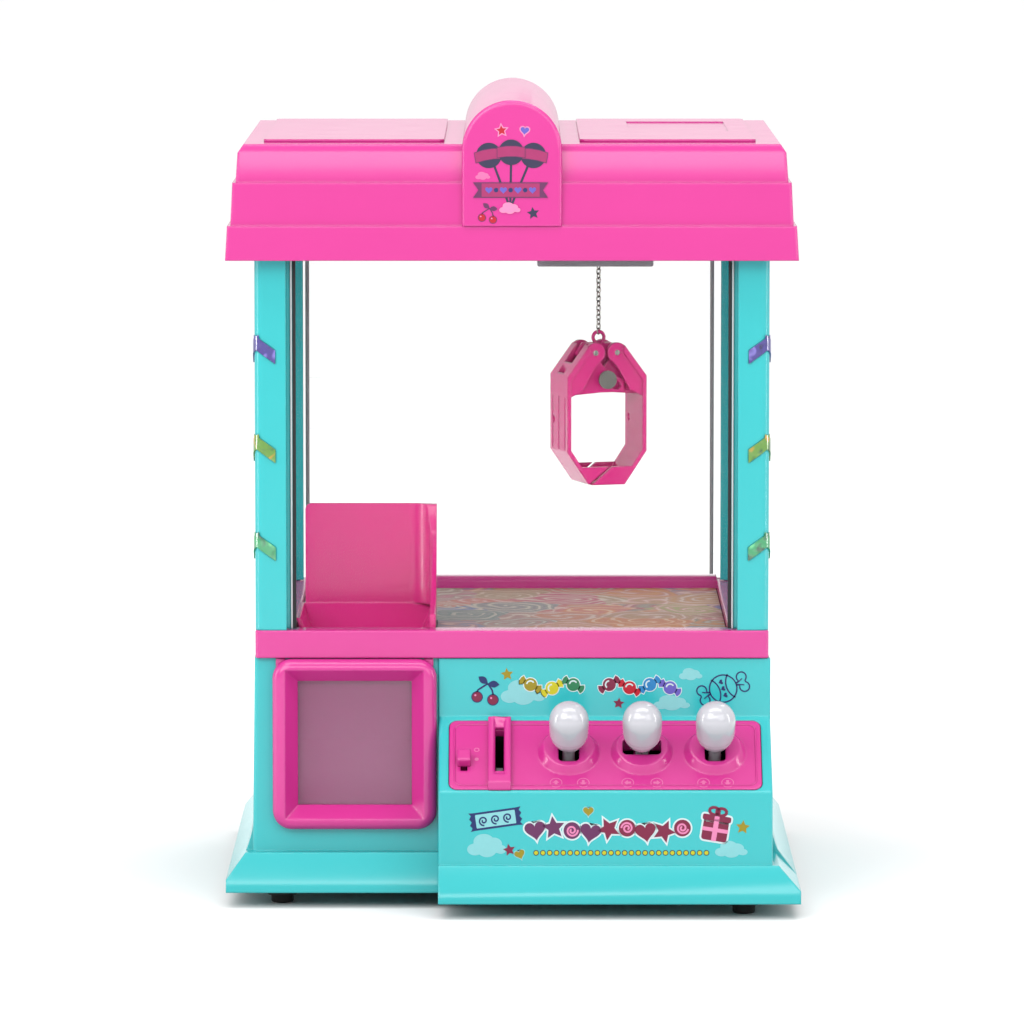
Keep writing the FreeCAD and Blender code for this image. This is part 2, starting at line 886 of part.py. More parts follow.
def console_housing():
    outer = console_form("console_outer", NIL, s.plinth_low)
    soft = rounded(
        "console_soft", outer, 1.4,
        lambda middle, along: (runs_along(along, "x") and middle.z > 30 and middle.z < 60)
        or (not runs_along(along, "x") and middle.y < -108 and middle.y > -144
            and 24 < middle.z < 84),
    )
    cavity = console_form("console_cavity", s.wall, s.plinth_low - 1)
    gap = s.fit_gap
    window = block(
        "panel_window_blank", (s.panel_left - gap, s.panel_right + gap),
        (s.panel_front - gap, s.panel_back + gap), (-10, 5),
    )
    window = rounded("panel_window", window, s.panel_corner,
                     lambda middle, along: runs_along(along, "z"))
    placed = group("panel_window_placed", window)
    turn(placed, Vector(1, 0, 0), s.slope_angle)
    put(placed, 0, -s.fascia_front, s.fascia_low)
    bores = [
        drum(f"console_bore_{index}", "z", place, s.screw_radius, s.plate_low, s.plate_low + 10)
        for index, place in enumerate(screw_places()[3:5])
    ]
    posts = [
        drum(f"console_boss_{index}", "z", place, s.boss_radius, s.plate_low + s.plate_thick,
             s.boss_top)
        for index, place in enumerate(screw_places()[3:5])
    ]
    shell = cut("console_shell", soft, cavity, placed)
    inside = shared("console_bosses", join("console_posts", *posts), soft)
    node("console_housing", cut("console_whole", join("console_all", shell, inside), *bores))


def lever_places():
    return [(s.lever_first + s.lever_pitch * index, s.lever_v) for index in range(3)]


def along_lever(index, name, centre, near, far, half, zs):
    """A block beside a lever: near and far along its hinge axis, half across it."""
    u, v = centre
    if index == 1:
        return block(name, (u - half, u + half), (v + near, v + far), zs)
    return block(name, (u + near, u + far), (v - half, v + half), zs)


def control_panel():
    plate = block("panel_plate", (s.panel_left, s.panel_right), (s.panel_front, s.panel_back),
                  (s.panel_proud - s.panel_thick, s.panel_proud))
    plate = rounded("panel_plate_soft", plate, s.panel_corner - s.fit_gap,
                    lambda middle, along: runs_along(along, "z"))
    low = s.panel_proud - s.panel_thick
    flange = block("panel_flange", (s.panel_left - s.flange_out, s.panel_right + s.flange_out),
                   (s.panel_front - s.flange_out_front, s.panel_back + s.flange_out_back),
                   (low - s.flange_thick, low))
    adds = [plate, flange]
    cuts = []
    for index, (u, v) in enumerate(lever_places()):
        collar = cone(f"collar_{index}", (u, v), s.collar_radius, s.collar_top_radius,
                      s.panel_proud, s.panel_proud + s.collar_tall)
        collar = rounded(f"collar_soft_{index}", collar, 0.9,
                         lambda middle, along: middle.z > 1)
        adds.append(collar)
        half_long = s.lever_slot_long / 2
        half_wide = s.lever_slot_wide / 2
        across = (half_long, half_wide) if index == 1 else (half_wide, half_long)
        slot = block(f"lever_slot_{index}", (u - across[0], u + across[0]),
                     (v - across[1], v + across[1]), (low - 3, s.collar_tall + 2))
        cuts.append(rounded(f"lever_slot_soft_{index}", slot, s.lever_slot_round,
                            lambda middle, along: runs_along(along, "z")))
        bracket_zs = (-s.pivot_depth - s.bracket_below, low - s.flange_thick)
        for side, (near, far) in enumerate((
            (s.bracket_near, s.bracket_near + s.bracket_thick),
            (-s.bracket_near - s.bracket_thick, -s.bracket_near),
        )):
            adds.append(along_lever(index, f"bracket_{index}_{side}", (u, v), near, far,
                                    s.bracket_wide / 2, bracket_zs))
        cuts.append(lever_pin(index, f"pin_bore_{index}"))
    board_low = -s.switch_board_depth
    for index, (u, v) in enumerate((
        (s.switch_board_left + 3, s.switch_board_back - 3),
        (s.switch_board_right - 3, s.switch_board_back - 3),
        (s.switch_board_left + 3, s.switch_board_front + 3),
        (s.switch_board_right - 3, s.switch_board_front + 3),
    )):
        adds.append(drum(f"board_post_{index}", "z", (u, v), s.boss_radius / 2, board_low, low))
    cuts.append(block("panel_coin_slot", (s.coin_u - s.coin_slot_half, s.coin_u + s.coin_slot_half),
                      (s.coin_slot_front, s.coin_slot_back), (low - 3, low + 5)))
    cuts.append(block(
        "panel_power_slot", (s.power_u - s.power_slot_half, s.power_u + s.power_slot_half),
        (s.power_v - s.power_tongue_long / 2 - s.power_travel - s.fit_gap,
         s.power_v + s.power_tongue_long / 2 + s.fit_gap), (low - 3, low + 5)))
    node("control_panel", cut("panel_cut", join("panel_all", *adds), *cuts), "slope")


def lever_pin(index, name):
    """The steel pin a lever rocks on."""
    u, v = lever_places()[index]
    reach = s.bracket_near + s.bracket_thick
    if index == 1:
        return drum(name, "y", (u, -s.pivot_depth), s.lever_pin_radius, v - reach, v + reach)
    return drum(name, "x", (v, -s.pivot_depth), s.lever_pin_radius, u - reach, u + reach)


def lever_pins():
    pins = [lever_pin(index, f"lever_pin_{index}") for index in range(3)]
    node("lever_pins", group("lever_pin_set", *pins), "slope")


def levers():
    for index, label in enumerate(("lever_left", "lever_middle", "lever_right")):
        u, v = lever_places()[index]
        crown = doc.addObject("Part::Sphere", f"crown_{index}")
        bind(crown, "Radius", s.knob_radius)
        crown.Angle1 = 0
        put(crown, u, v, s.knob_height)
        rings = [
            (s.knob_seam_radius, s.knob_radius, s.knob_seam_height, s.knob_height),
            (s.knob_chin_radius, s.knob_seam_radius, s.knob_chin_height, s.knob_seam_height),
            (s.knob_neck_radius, s.knob_chin_radius, s.knob_neck_height, s.knob_chin_height),
            (s.stem_radius, s.knob_neck_radius, s.stem_height, s.knob_neck_height),
        ]
        pieces = [crown]
        for step, (low_r, high_r, low, high) in enumerate(rings):
            pieces.append(cone(f"knob_{index}_{step}", (u, v), low_r, high_r, low, high))
        pieces.append(drum(f"stem_{index}", "z", (u, v), s.stem_radius, -s.pivot_depth,
                           s.stem_height))
        pieces.append(drum(f"lever_foot_{index}", "z", (u, v), s.lever_foot_radius,
                           -s.pivot_depth - s.lever_foot_long, -s.pivot_depth))
        half = s.bracket_near - s.fit_gap
        low = -s.pivot_depth
        if index == 1:
            hub = drum("hub_1", "y", (u, low), s.lever_hub_radius, v - half, v + half)
            bore = drum("hub_bore_1", "y", (u, low), s.lever_pin_radius + s.run_gap,
                        v - half - 1, v + half + 1)
        else:
            hub = drum(f"hub_{index}", "x", (v, low), s.lever_hub_radius, u - half, u + half)
            bore = drum(f"hub_bore_{index}", "x", (v, low), s.lever_pin_radius + s.run_gap,
                        u - half - 1, u + half + 1)
        node(label, cut(f"lever_cut_{index}", join(f"lever_all_{index}", *pieces, hub), bore),
             "slope")


def lever_switches():
    top = -s.switch_board_depth
    board = block("switch_board", (s.switch_board_left, s.switch_board_right),
                  (s.switch_board_front, s.switch_board_back), (top - s.switch_board_thick, top))
    pieces = [board]
    for index, (u, v) in enumerate(lever_places()):
        near = s.switch_from
        far = s.switch_from + s.switch_long
        half = s.switch_wide / 2
        zs = (top, top + s.switch_tall)
        for side, (low, high) in enumerate(((near, far), (-far, -near))):
            if index == 1:
                span = ((u + low, u + high), (v - half, v + half))
            else:
                span = ((u - half, u + half), (v + low, v + high))
            pieces.append(block(f"switch_{index}_{side}", span[0], span[1], zs))
    return join("lever_switch_set", *pieces)


def coin_slot_bezel():
    base = s.panel_proud
    top = s.panel_proud + s.coin_bar_tall
    points = [
        (s.coin_bar_front, base), (s.coin_bar_front + s.coin_bar_slant, top),
        (s.coin_bar_back - s.coin_bar_slant, top), (s.coin_bar_back, base),
    ]
    bar = prism("coin_bar", "YZ", points, s.coin_u - s.coin_bar_half, s.coin_u + s.coin_bar_half)
    slot = block("coin_bar_slot", (s.coin_u - s.coin_slot_half, s.coin_u + s.coin_slot_half),
                 (s.coin_slot_front, s.coin_slot_back), (base - 1, top + 1))
    dish = frustum(
        "coin_bar_dish", (s.coin_u - s.coin_slot_half, s.coin_u + s.coin_slot_half),
        (s.coin_slot_front - 1.5, s.coin_slot_back + 3), top - 1,
        (s.coin_u - s.coin_slot_half - 1, s.coin_u + s.coin_slot_half + 1),
        (s.coin_slot_front - 3, s.coin_slot_back + 5), top + 0.2,
    )
    node("coin_slot_bezel", cut("coin_bezel_cut", bar, slot, dish), "slope")


def coin_chute():
    top = s.panel_proud - s.panel_thick - s.flange_thick
    wall = s.coin_chute_wall
    gap = s.fit_gap / 2
    low = top - s.coin_chute_deep
    outer = block(
        "coin_chute_outer", (s.coin_u - s.coin_slot_half - wall, s.coin_u + s.coin_slot_half + wall),
        (s.coin_slot_front - wall - gap, s.coin_slot_back + wall + gap), (low, top),
    )
    inner = block("coin_chute_inner", (s.coin_u - s.coin_slot_half, s.coin_u + s.coin_slot_half),
                  (s.coin_slot_front - gap, s.coin_slot_back + gap), (low - 1, top + 1))
    bore = drum("coin_chute_bore", "x", (s.flap_v, -s.flap_depth), s.flap_pin_radius + s.run_gap,
                s.coin_u - s.coin_slot_half - wall - 1, s.coin_u + s.coin_slot_half + wall + 1)
    node("coin_chute", cut("coin_chute_cut", outer, inner, bore), "slope")


def coin_flap():
    reach = s.coin_slot_half + s.coin_chute_wall
    pin = drum("flap_pin", "x", (s.flap_v, -s.flap_depth), s.flap_pin_radius,
               s.coin_u - reach, s.coin_u + reach)
    blade = block("flap_blade", (s.coin_u - s.flap_half, s.coin_u + s.flap_half),
                  (s.flap_v, s.flap_v + s.flap_long),
                  (-s.flap_depth - s.flap_thick / 2, -s.flap_depth + s.flap_thick / 2))
    hub = drum("flap_hub", "x", (s.flap_v, -s.flap_depth), s.flap_pin_radius + 0.8,
               s.coin_u - s.flap_half, s.coin_u + s.flap_half)
    node("coin_flap", join("coin_flap_all", pin, blade, hub), "slope")


def power_switch():
    low = s.panel_proud
    gap = s.run_gap * 2
    knob = block("power_cap", (s.power_u - s.power_half, s.power_u + s.power_half),
                 (s.power_v - s.power_long / 2, s.power_v + s.power_long / 2),
                 (low + gap, low + s.power_tall))
    knob = rounded("power_cap_soft", knob, 0.8,
                   lambda middle, along: middle.z > s.panel_proud.number + 0.5)
    tongue = block(
        "power_tongue", (s.power_u - s.power_tongue_half, s.power_u + s.power_tongue_half),
        (s.power_v - s.power_tongue_long / 2, s.power_v + s.power_tongue_long / 2),
        (low - s.panel_thick - 4, low + gap + 0.5),
    )
    node("power_switch_knob", join("power_all", knob, tongue), "slope")
    top = low - s.panel_thick - s.flange_thick
    body = block(
        "power_body_block", (s.power_u - 5, s.power_u + 5),
        (s.power_v - s.power_travel - 5, s.power_v + 5), (top - 8, top),
    )
    room = block(
        "power_body_room", (s.power_u - s.power_slot_half, s.power_u + s.power_slot_half),
        (s.power_v - s.power_tongue_long / 2 - s.power_travel - s.fit_gap,
         s.power_v + s.power_tongue_long / 2 + s.fit_gap), (top - 5, top + 1),
    )
    node("switch_blocks", group("switch_block_set", cut("power_body", body, room),
                                lever_switches()), "slope")


# ---------------------------------------------------------------- prize door and chute


def prize_door_bezel(shell):
    xs = (s.door_x - s.bezel_half_wide, s.door_x + s.bezel_half_wide)
    blank = block("bezel_blank", xs, (-s.bezel_front, -s.bezel_back), (s.bezel_low, s.bezel_high))
    blank = rounded("bezel_corners", blank, s.bezel_corner,
                    lambda middle, along: runs_along(along, "y"))
    blank = rounded("bezel_soft", blank, s.bezel_round,
                    lambda middle, along: middle.y < -s.bezel_front.number + 0.1)
    more = s.bevel_more
    half = s.door_half_wide
    # The opening narrows from the front face back to the flap.
    points_deep = s.bezel_front - s.bezel_back
    bevel = doc.addObject("Part::Wedge", "bezel_bevel")
    for path, amount in {
        "Xmin": -half - more, "Xmax": half + more, "X2min": -half, "X2max": half,
        "Zmin": s.door_low - more, "Zmax": s.door_high + more,
        "Z2min": s.door_low, "Z2max": s.door_high,
        "Ymin": NIL, "Ymax": points_deep - 2.5,
    }.items():
        bind(bevel, path, amount)
    put(bevel, s.door_x, -s.bezel_front, 0)
    opening = block("bezel_opening", (s.door_x - half, s.door_x + half),
                    (-s.bezel_front - 1, -s.bezel_back + 1), (s.door_low, s.door_high))
    frame = cut("bezel_frame", blank, bevel, opening, shell)
    lugs = []
    for side, sign in enumerate((-1, 1)):
        near = s.door_x + s.door_lug_from * sign
        far = s.door_x + (s.door_lug_from + s.door_lug_thick) * sign
        span = (far, near) if sign < 0 else (near, far)
        lugs.append(block(f"door_lug_{side}", span, (-s.bezel_back, -s.door_y + s.door_lug_reach),
                          (s.door_hinge_z - s.door_lug_reach, s.door_hinge_z + s.door_lug_reach)))
    bore = drum("door_bore", "x", (-s.door_y, s.door_hinge_z), s.door_pin_radius + s.run_gap,
                s.door_x - s.bezel_half_wide, s.door_x + s.bezel_half_wide)
    tabs = [
        block(f"bezel_tab_{side}", span, (-s.back_flange_front, -s.back_flange_back),
              (s.back_flange_low, s.bezel_high))
        for side, span in (
            ("left", (s.door_x - s.back_flange_half_wide, s.door_x - half - more)),
            ("right", (s.door_x + half + more, s.door_x + s.back_flange_half_wide)),
        )
    ]
    whole = join("bezel_all", frame, *lugs, *tabs)
    node("prize_door_bezel", cut("bezel_bored", whole, bore))


def prize_door():
    half = s.door_half_wide + s.door_lap
    pane = block("door_pane", (s.door_x - half, s.door_x + half),
                 (-s.door_y - s.door_thick / 2, -s.door_y + s.door_thick / 2),
                 (s.door_low - s.door_lap, s.door_hinge_z))
    reach = s.door_lug_from + s.door_lug_thick
    pin = drum("door_pin", "x", (-s.door_y, s.door_hinge_z), s.door_pin_radius,
               s.door_x - reach, s.door_x + reach)
    node("prize_door", join("prize_door_all", pane, pin))


def prize_bin():
    """Sloping floor, steep ramp and side walls that bring a prize to the door."""
    thick = s.thin_wall
    front = -s.bin_front
    points = [
        (front, s.bin_floor_front), (-s.bin_ramp_foot, s.bin_floor_back),
        (-s.bin_back, s.bin_ramp_top), (-s.bin_back, s.bin_top),
        (-s.bin_back + thick, s.bin_top), (-s.bin_back + thick, s.bin_ramp_top - thick),
        (-s.bin_ramp_foot + thick / 2, s.bin_floor_back - thick), (front, s.bin_floor_front - thick),
    ]
    floor = prism("bin_floor", "YZ", points, s.bin_left, s.bin_right)
    sides = []
    for side, (low, high) in enumerate((
        (s.bin_left, s.bin_left + thick), (s.bin_right - thick, s.bin_right),
    )):
        sides.append(block(f"bin_side_{side}", (low, high), (front, -s.bin_back + thick),
                           (s.bin_floor_front - thick, s.bin_top)))
    legs = [
        block(f"bin_leg_{index}", (x, x + 6), (-s.bin_ramp_foot, -s.bin_ramp_foot + thick * 2),
              (s.plate_low + s.plate_thick, s.bin_floor_back - thick / 2))
        for index, x in enumerate((s.bin_left, s.bin_right - 6))
    ]
    node("prize_bin", join("prize_bin_all", floor, *sides, *legs))


def prize_chute():
    wall = s.chute_wall
    crease = s.chute_crease
    outer = frustum(
        "funnel_outer", (s.funnel_left - wall, s.funnel_right + wall),
        (-s.chute_front, -s.funnel_back + wall), s.funnel_low,
        (s.chute_left, s.chute_right), (-s.chute_front, -s.chute_back + wall), crease,
    )
    inner = frustum(
        "funnel_inner", (s.funnel_left, s.funnel_right),
        (-s.chute_front + wall, -s.funnel_back), s.funnel_low - 0.01,
        (s.chute_left + wall, s.chute_right - wall), (-s.chute_front + wall, -s.chute_back),
        crease + 0.01,
    )
    low_front = block("funnel_low_front", (s.chute_left + wall, s.chute_right - wall),
                      (-s.chute_front - 1, -s.chute_front + wall + 1),
                      (s.chute_front_top, crease + 1))
    funnel = cut("funnel", outer, inner, low_front)
    back = block("chute_back_panel", (s.chute_panel_left, s.chute_right),
                 (-s.chute_back, -s.chute_back + wall), (crease - 1, s.chute_top))
    back = rounded("chute_back_soft", back, 3.0,
                   lambda middle, along: runs_along(along, "y") and middle.z > 150)
    # The wing thins towards its top, and sweeps into the back panel.
    inner = s.chute_right - s.chute_wing_thick
    inner_top = s.chute_right - s.chute_wing_top_thick
    corner = s.chute_wing_round
    points = [(inner, s.chute_front_top), (s.chute_right, s.chute_front_top),
              (s.chute_right, s.chute_top), (inner_top, s.chute_top)]
    wing = prism("chute_wing", "XZ", points, -s.chute_front, -s.chute_back)
    sweep = cut(
        "chute_sweep",
        block("chute_sweep_blank", (inner - corner, s.chute_right), (-s.chute_back - corner,
                                                                    -s.chute_back),
              (crease, s.chute_top)),
        drum("chute_sweep_hollow", "z", (inner - corner, -s.chute_back - corner), corner,
             crease - 1, s.chute_top + 1),
    )
    wing = join("chute_wing_sweep", wing, sweep)
    # The wing's front edge falls in a hollow curve from the top of the back panel.
    deep = s.chute_front - s.chute_back
    scoop = doc.addObject("Part::Cylinder", "chute_scoop")
    bind(scoop, "Radius", deep)
    bind(scoop, "Height", s.chute_wing_thick + corner + 4)
    scoop.Placement = Placement(Vector(), Rotation(Vector(0, 1, 0), 90))
    put(scoop, inner - corner - 2, -s.chute_front - 3,
        s.chute_wing_low + deep)
    node("prize_chute", join("chute_all", funnel, back, cut("chute_wing_cut", wing, scoop)))


# ---------------------------------------------------------------- tray, columns, panes


def tray_frame():
    outer = block("tray_outer", both(s.tray_half_wide), both(s.tray_half_deep),
                  (s.base_top, s.tray_top))
    outer = rounded("tray_soft", outer, 2.2, lambda middle, along: runs_along(along, "z"))
    outer = rounded("tray_softer", outer, 0.7, lambda middle, along: middle.z > s.tray_top.number - 0.1)
    sill = block("tray_sill", both(s.tray_open_half_wide), (s.sill_from, s.sill_to),
                 (s.tray_top - 1, s.sill_top))
    opening = block("tray_opening", both(s.tray_open_half_wide), both(s.tray_open_half_deep),
                    (s.tray_ledge_top, s.sill_top + 1))
    well = block("tray_well", both(s.tray_open_half_wide - s.tray_ledge),
                 both(s.tray_open_half_deep - s.tray_ledge), (s.base_top - 1, s.tray_top))
    chute_room = block("tray_chute_room", (s.chute_left - s.fit_gap, s.chute_right + s.fit_gap),
                       (-s.chute_front - s.fit_gap, -s.chute_back + s.chute_wall + s.fit_gap),
                       (s.base_top - 1, s.tray_top - 1.5))
    pin_bore = drum("tray_pin_bore", "z", (s.rear_hinge_x, s.pane_y),
                    s.rear_pin_radius + s.run_gap, s.tray_top - 4, s.sill_top + 1)
    whole = cut("tray_cut", join("tray_all", outer, sill), opening, well, chute_room, pin_bore)
    node("tray_frame", whole)


def play_floor():
    gap = s.fit_gap
    sheet_form = block("floor_sheet", both(s.tray_open_half_wide - gap),
                       both(s.tray_open_half_deep - gap), (s.tray_ledge_top, s.floor_top))
    hole = block("floor_hole", (s.chute_left - gap - 20, s.chute_right + gap),
                 (-s.chute_front - gap - 5, -s.chute_back + s.chute_wall + gap),
                 (s.tray_ledge_top - 1, s.floor_top + 1))
    node("play_floor", cut("floor_cut", sheet_form, hole))


def column_box(name, x_sign, y_sign, grow, low, high):
    """One column as a rounded bar, grown or shrunk all round by one amount."""
    x_in = s.column_in_x - grow
    x_out = s.column_out_x + grow
    y_in = s.column_in_y - grow
    y_out = s.column_out_y + grow
    xs = (x_in, x_out) if x_sign > 0 else (-x_out, -x_in)
    ys = (y_in, y_out) if y_sign > 0 else (-y_out, -y_in)
    bar = block(name + "_bar", xs, ys, (low, high))
    corner = (number_of(x_out) * x_sign, number_of(y_out) * y_sign)
    return rounded(
        name, bar, s.column_round + grow,
        lambda middle, along: runs_along(along, "z") and abs(middle.x - corner[0]) < 0.1
        and abs(middle.y - corner[1]) < 0.1,
    )


def lens(name, x_sign, height):
    """A slanting jewel that wraps the outer corner of a front column."""
    tall = s.lens_tall / 2
    drop = s.lens_drop / 2
    steep = s.lens_drop / s.lens_wide
    near_x = s.column_out_x + 1
    far_x = s.column_out_x - s.lens_wide
    lift = steep * 1
    front = [
        (near_x * x_sign, height + drop + lift + tall), (far_x * x_sign, height - drop + tall),
        (far_x * x_sign, height - drop - tall), (near_x * x_sign, height + drop + lift - tall),
    ]
    face = prism(name + "_front", "XZ", front, -s.column_out_y - 1, -s.column_out_y + 2)
    near_y = -s.column_out_y - 1
    far_y = -s.column_out_y + s.lens_wide
    side_points = [
        (near_y, height + drop + lift + tall), (far_y, height - drop + tall),
        (far_y, height - drop - tall), (near_y, height + drop + lift - tall),
    ]
    low = s.column_out_x * x_sign - 1 if x_sign > 0 else s.column_out_x * x_sign - 1
    side = prism(name + "_side", "YZ", side_points, low - 1, low + 3)
    skin = cut(
        name + "_skin",
        column_box(name + "_out", x_sign, -1, s.lens_proud, height - 9, height + 9),
        column_box(name + "_in", x_sign, -1, -s.lens_sunk, height - 10, height + 10),
    )
    return shared(name, join(name + "_chevron", face, side), skin)


def signed(sign, near, far):
    """The span from near to far on one side of the middle, low end first."""
    return (near, far) if sign > 0 else (-far, -near)


def column_rebates(name, x_sign, y_sign):
    """The steps inside a column that its panes and beads stand against."""
    half = s.pane_thick / 2
    zs = (s.pane_low, s.pane_top)
    clear = s.bead_gap + s.bead_wide + s.rebate_clear
    side = block(name + "_side_rebate", signed(x_sign, s.pane_x - half, s.pane_x + half),
                 signed(y_sign, s.pane_half_deep + clear, s.column_in_y + s.rebate_clear), zs)
    if y_sign < 0:
        xs = signed(x_sign, s.pane_half_wide + clear, s.column_in_x + s.rebate_clear)
        ys = signed(y_sign, s.pane_y - half, s.pane_y + half)
    else:
        xs = signed(x_sign, s.column_in_x - s.rear_rebate, s.column_in_x + s.rebate_clear)
        ys = (s.column_in_y, s.column_in_y + s.rear_rebate_deep)
    return [side, block(name + "_front_rebate", xs, ys, zs)]


def columns_and_lenses():
    heights = {"violet": s.lens_top_z, "lime": s.lens_middle_z, "green": s.lens_low_z}
    jewels = {}
    for colour, height in heights.items():
        jewels[colour] = [lens(f"{colour}_{side}", x_sign, height)
                          for side, x_sign in (("left", -1), ("right", 1))]
        node(f"{colour}_lenses", group(f"{colour}_pair", *jewels[colour]))
    for row, y_sign in (("front", -1), ("rear", 1)):
        made = []
        for place, x_sign in enumerate((-1, 1)):
            name = f"column_{row}_{place}"
            bar = column_box(name + "_out", x_sign, y_sign, NIL, s.tray_top, s.column_top)
            core = column_box(name + "_in", x_sign, y_sign, -s.column_wall, s.tray_top - 1,
                              s.column_top + 1)
            tools = [core]
            if y_sign < 0:
                tools += [pair[place] for pair in jewels.values()]
            made.append(join(name + "_all", cut(name, bar, *tools),
                             *column_rebates(name, x_sign, y_sign)))
        node(f"{row}_columns", group(f"{row}_column_pair", *made))


def panes():
    half = s.pane_thick / 2
    zs = (s.pane_low, s.pane_top)
    node("front_window", block("front_pane", both(s.pane_half_wide),
                               (-s.pane_y - half, -s.pane_y + half), zs))
    node("left_window", block("left_pane", (-s.pane_x - half, -s.pane_x + half),
                              both(s.pane_half_deep), zs))
    node("right_window", block("right_pane", (s.pane_x - half, s.pane_x + half),
                               both(s.pane_half_deep), zs))


def seals():
    """Black strips over the fixed panes' edges, and white beads that hold the panes."""
    zs = (s.pane_low, s.pane_top)
    half = s.pane_thick / 2
    over = s.seal_thick
    black = []
    white = []
    for x_sign, tag in ((-1, "left"), (1, "right")):
        edge = s.pane_half_wide
        ys = (-s.pane_y - half - over, -s.pane_y - half)
        black.append(block(f"front_seal_{tag}", signed(x_sign, edge - s.seal_wide, edge), ys, zs))
        ys = (-s.pane_y - half - over, -s.pane_y + half)
        bead = signed(x_sign, edge + s.bead_gap, edge + s.bead_gap + s.bead_wide)
        white.append(block(f"front_bead_{tag}", bead, ys, zs))
        edge = s.pane_half_deep
        for y_sign, row in ((-1, "front"), (1, "rear")):
            xs = signed(x_sign, s.pane_x + half, s.pane_x + half + over)
            ys = signed(y_sign, edge - s.seal_wide, edge)
            black.append(block(f"side_seal_{tag}_{row}", xs, ys, zs))
            xs = signed(x_sign, s.pane_x - half, s.pane_x + half + over)
            ys = signed(y_sign, edge + s.bead_gap, edge + s.bead_gap + s.bead_wide)
            white.append(block(f"side_bead_{tag}_{row}", xs, ys, zs))
    node("window_seals", group("seal_set", *black))
    node("glazing_beads", group("bead_set", *white))


def rear_door():
    half = s.pane_thick / 2
    pane = block("rear_pane", (s.rear_door_left, s.rear_door_right),
                 (s.pane_y - half, s.pane_y + half), (s.rear_door_low, s.rear_door_top))
    place = (s.rear_hinge_x, s.pane_y)
    low = s.rear_door_low
    top = s.rear_door_top
    knuckles = [
        drum("rear_knuckle_low", "z", place, s.rear_knuckle_radius, low, low + s.rear_knuckle_tall),
        drum("rear_knuckle_top", "z", place, s.rear_knuckle_radius, top - s.rear_knuckle_tall, top),
        drum("rear_pin_low", "z", place, s.rear_pin_radius, s.tray_top - 3, low + 1),
        drum("rear_pin_top", "z", place, s.rear_pin_radius, top - 1, s.column_top + 2.5),
    ]
    arms = [
        block("rear_arm_low", (s.rear_door_right - 1, s.rear_hinge_x),
              (s.pane_y - half, s.pane_y + half), (low, low + s.rear_knuckle_tall)),
        block("rear_arm_top", (s.rear_door_right - 1, s.rear_hinge_x),
              (s.pane_y - half, s.pane_y + half), (top - s.rear_knuckle_tall, top)),
    ]
    middle = (s.rear_door_low + s.rear_door_top) / 2
    tab = block("rear_tab", (s.rear_door_left + 2, s.rear_door_left + 8),
                (s.pane_y + half, s.pane_y + half + 4), (middle - 12, middle + 12))
    node("rear_door", join("rear_door_all", pane, *knuckles, *arms, tab))


# ---------------------------------------------------------------- roof


def roof_form(name, shrink, low):
    """The stepped roof, filled, or its cavity when shrink is a wall."""
    draft = s.tier_draft
    step = s.tier_step
    pieces = []
    wide = s.rim_half_wide
    deep = s.rim_half_deep
    tiers = [(low, s.rim_top), (s.rim_top, s.second_tier_top), (s.second_tier_top, s.third_tier_top)]
    for index, (bottom, top) in enumerate(tiers):
        start = bottom if index == 0 else bottom - shrink
        end = top - shrink
        pieces.append(frustum(
            f"{name}_tier_{index}", both(wide - shrink), both(deep - shrink), start,
            both(wide - draft - shrink), both(deep - draft - shrink), end,
        ))
        last = (wide - draft, deep - draft)
        wide = wide - draft - step
        deep = deep - draft - step
    pieces.append(frustum(
        f"{name}_crown", both(last[0] - shrink), both(last[1] - shrink), s.third_tier_top - shrink,
        both(last[0] - s.deck_chamfer - shrink), both(last[1] - s.deck_chamfer - shrink),
        s.deck - shrink,
    ))
    return join(name, *pieces)


def roof_shell():
    outer = roof_form("roof_outer", NIL, s.rim_low)
    soft = rounded(
        "roof_soft", outer, 1.2,
        lambda middle, along: abs(middle.x) > 118 and abs(middle.y) > 108
        and abs(along.z) > 0.9 * along.Length,
    )
    cavity = roof_form("roof_cavity", s.roof_wall, s.rim_low - 1)
    node("roof_shell", cut("roof_hollow", soft, cavity))
    return outer


def barrel(name, shrink, low, half_long):
    """A round-topped bar along the roof: straight sides up to the spring, then a half circle."""
    half = s.arch_half - shrink
    legs = block(name + "_legs", both(half), both(half_long), (low, s.arch_spring))
    top = drum(name + "_top", "y", (NIL, s.arch_spring), half, -half_long, half_long)
    return join(name, legs, top)


def roof_arch(roof):
    long_out = s.rim_half_deep
    outer = barrel("arch_outer", NIL, s.rim_top, long_out)
    outer = rounded(
        "arch_soft", outer, s.arch_round,
        lambda middle, along: abs(middle.y) > s.rim_half_deep.number - 0.1 and middle.z > 304,
    )
    inner = barrel("arch_inner", s.arch_wall, s.deck - 6, long_out - s.arch_wall)
    floor = block("arch_floor", both(s.arch_half + 1), both(long_out + 1), (s.rim_top - 9, s.deck))
    inside = cut("arch_room", inner, floor)
    node("roof_arch", cut("arch_shell", outer, roof, inside))


def roof_panels():
    zs = (s.deck, s.deck + s.pad_thick)
    pads = []
    for name, xs in (("left", (s.left_pad_left, s.left_pad_right)),
                     ("right", (s.right_pad_left, s.right_pad_right))):
        pad = block(f"pad_{name}", xs, (-s.pad_front, s.pad_back), zs)
        pads.append(rounded(f"pad_{name}_soft", pad, 3.0,
                            lambda middle, along: runs_along(along, "z")))
    recess = block("pad_recess", (s.recess_left, s.recess_right), (s.recess_front, s.recess_back),
                   (s.deck + s.pad_thick - s.recess_deep, s.deck + s.pad_thick + 1))
    pads[1] = cut("pad_right_cut", pads[1], recess)
    node("roof_panels", group("roof_panel_pair", *pads))


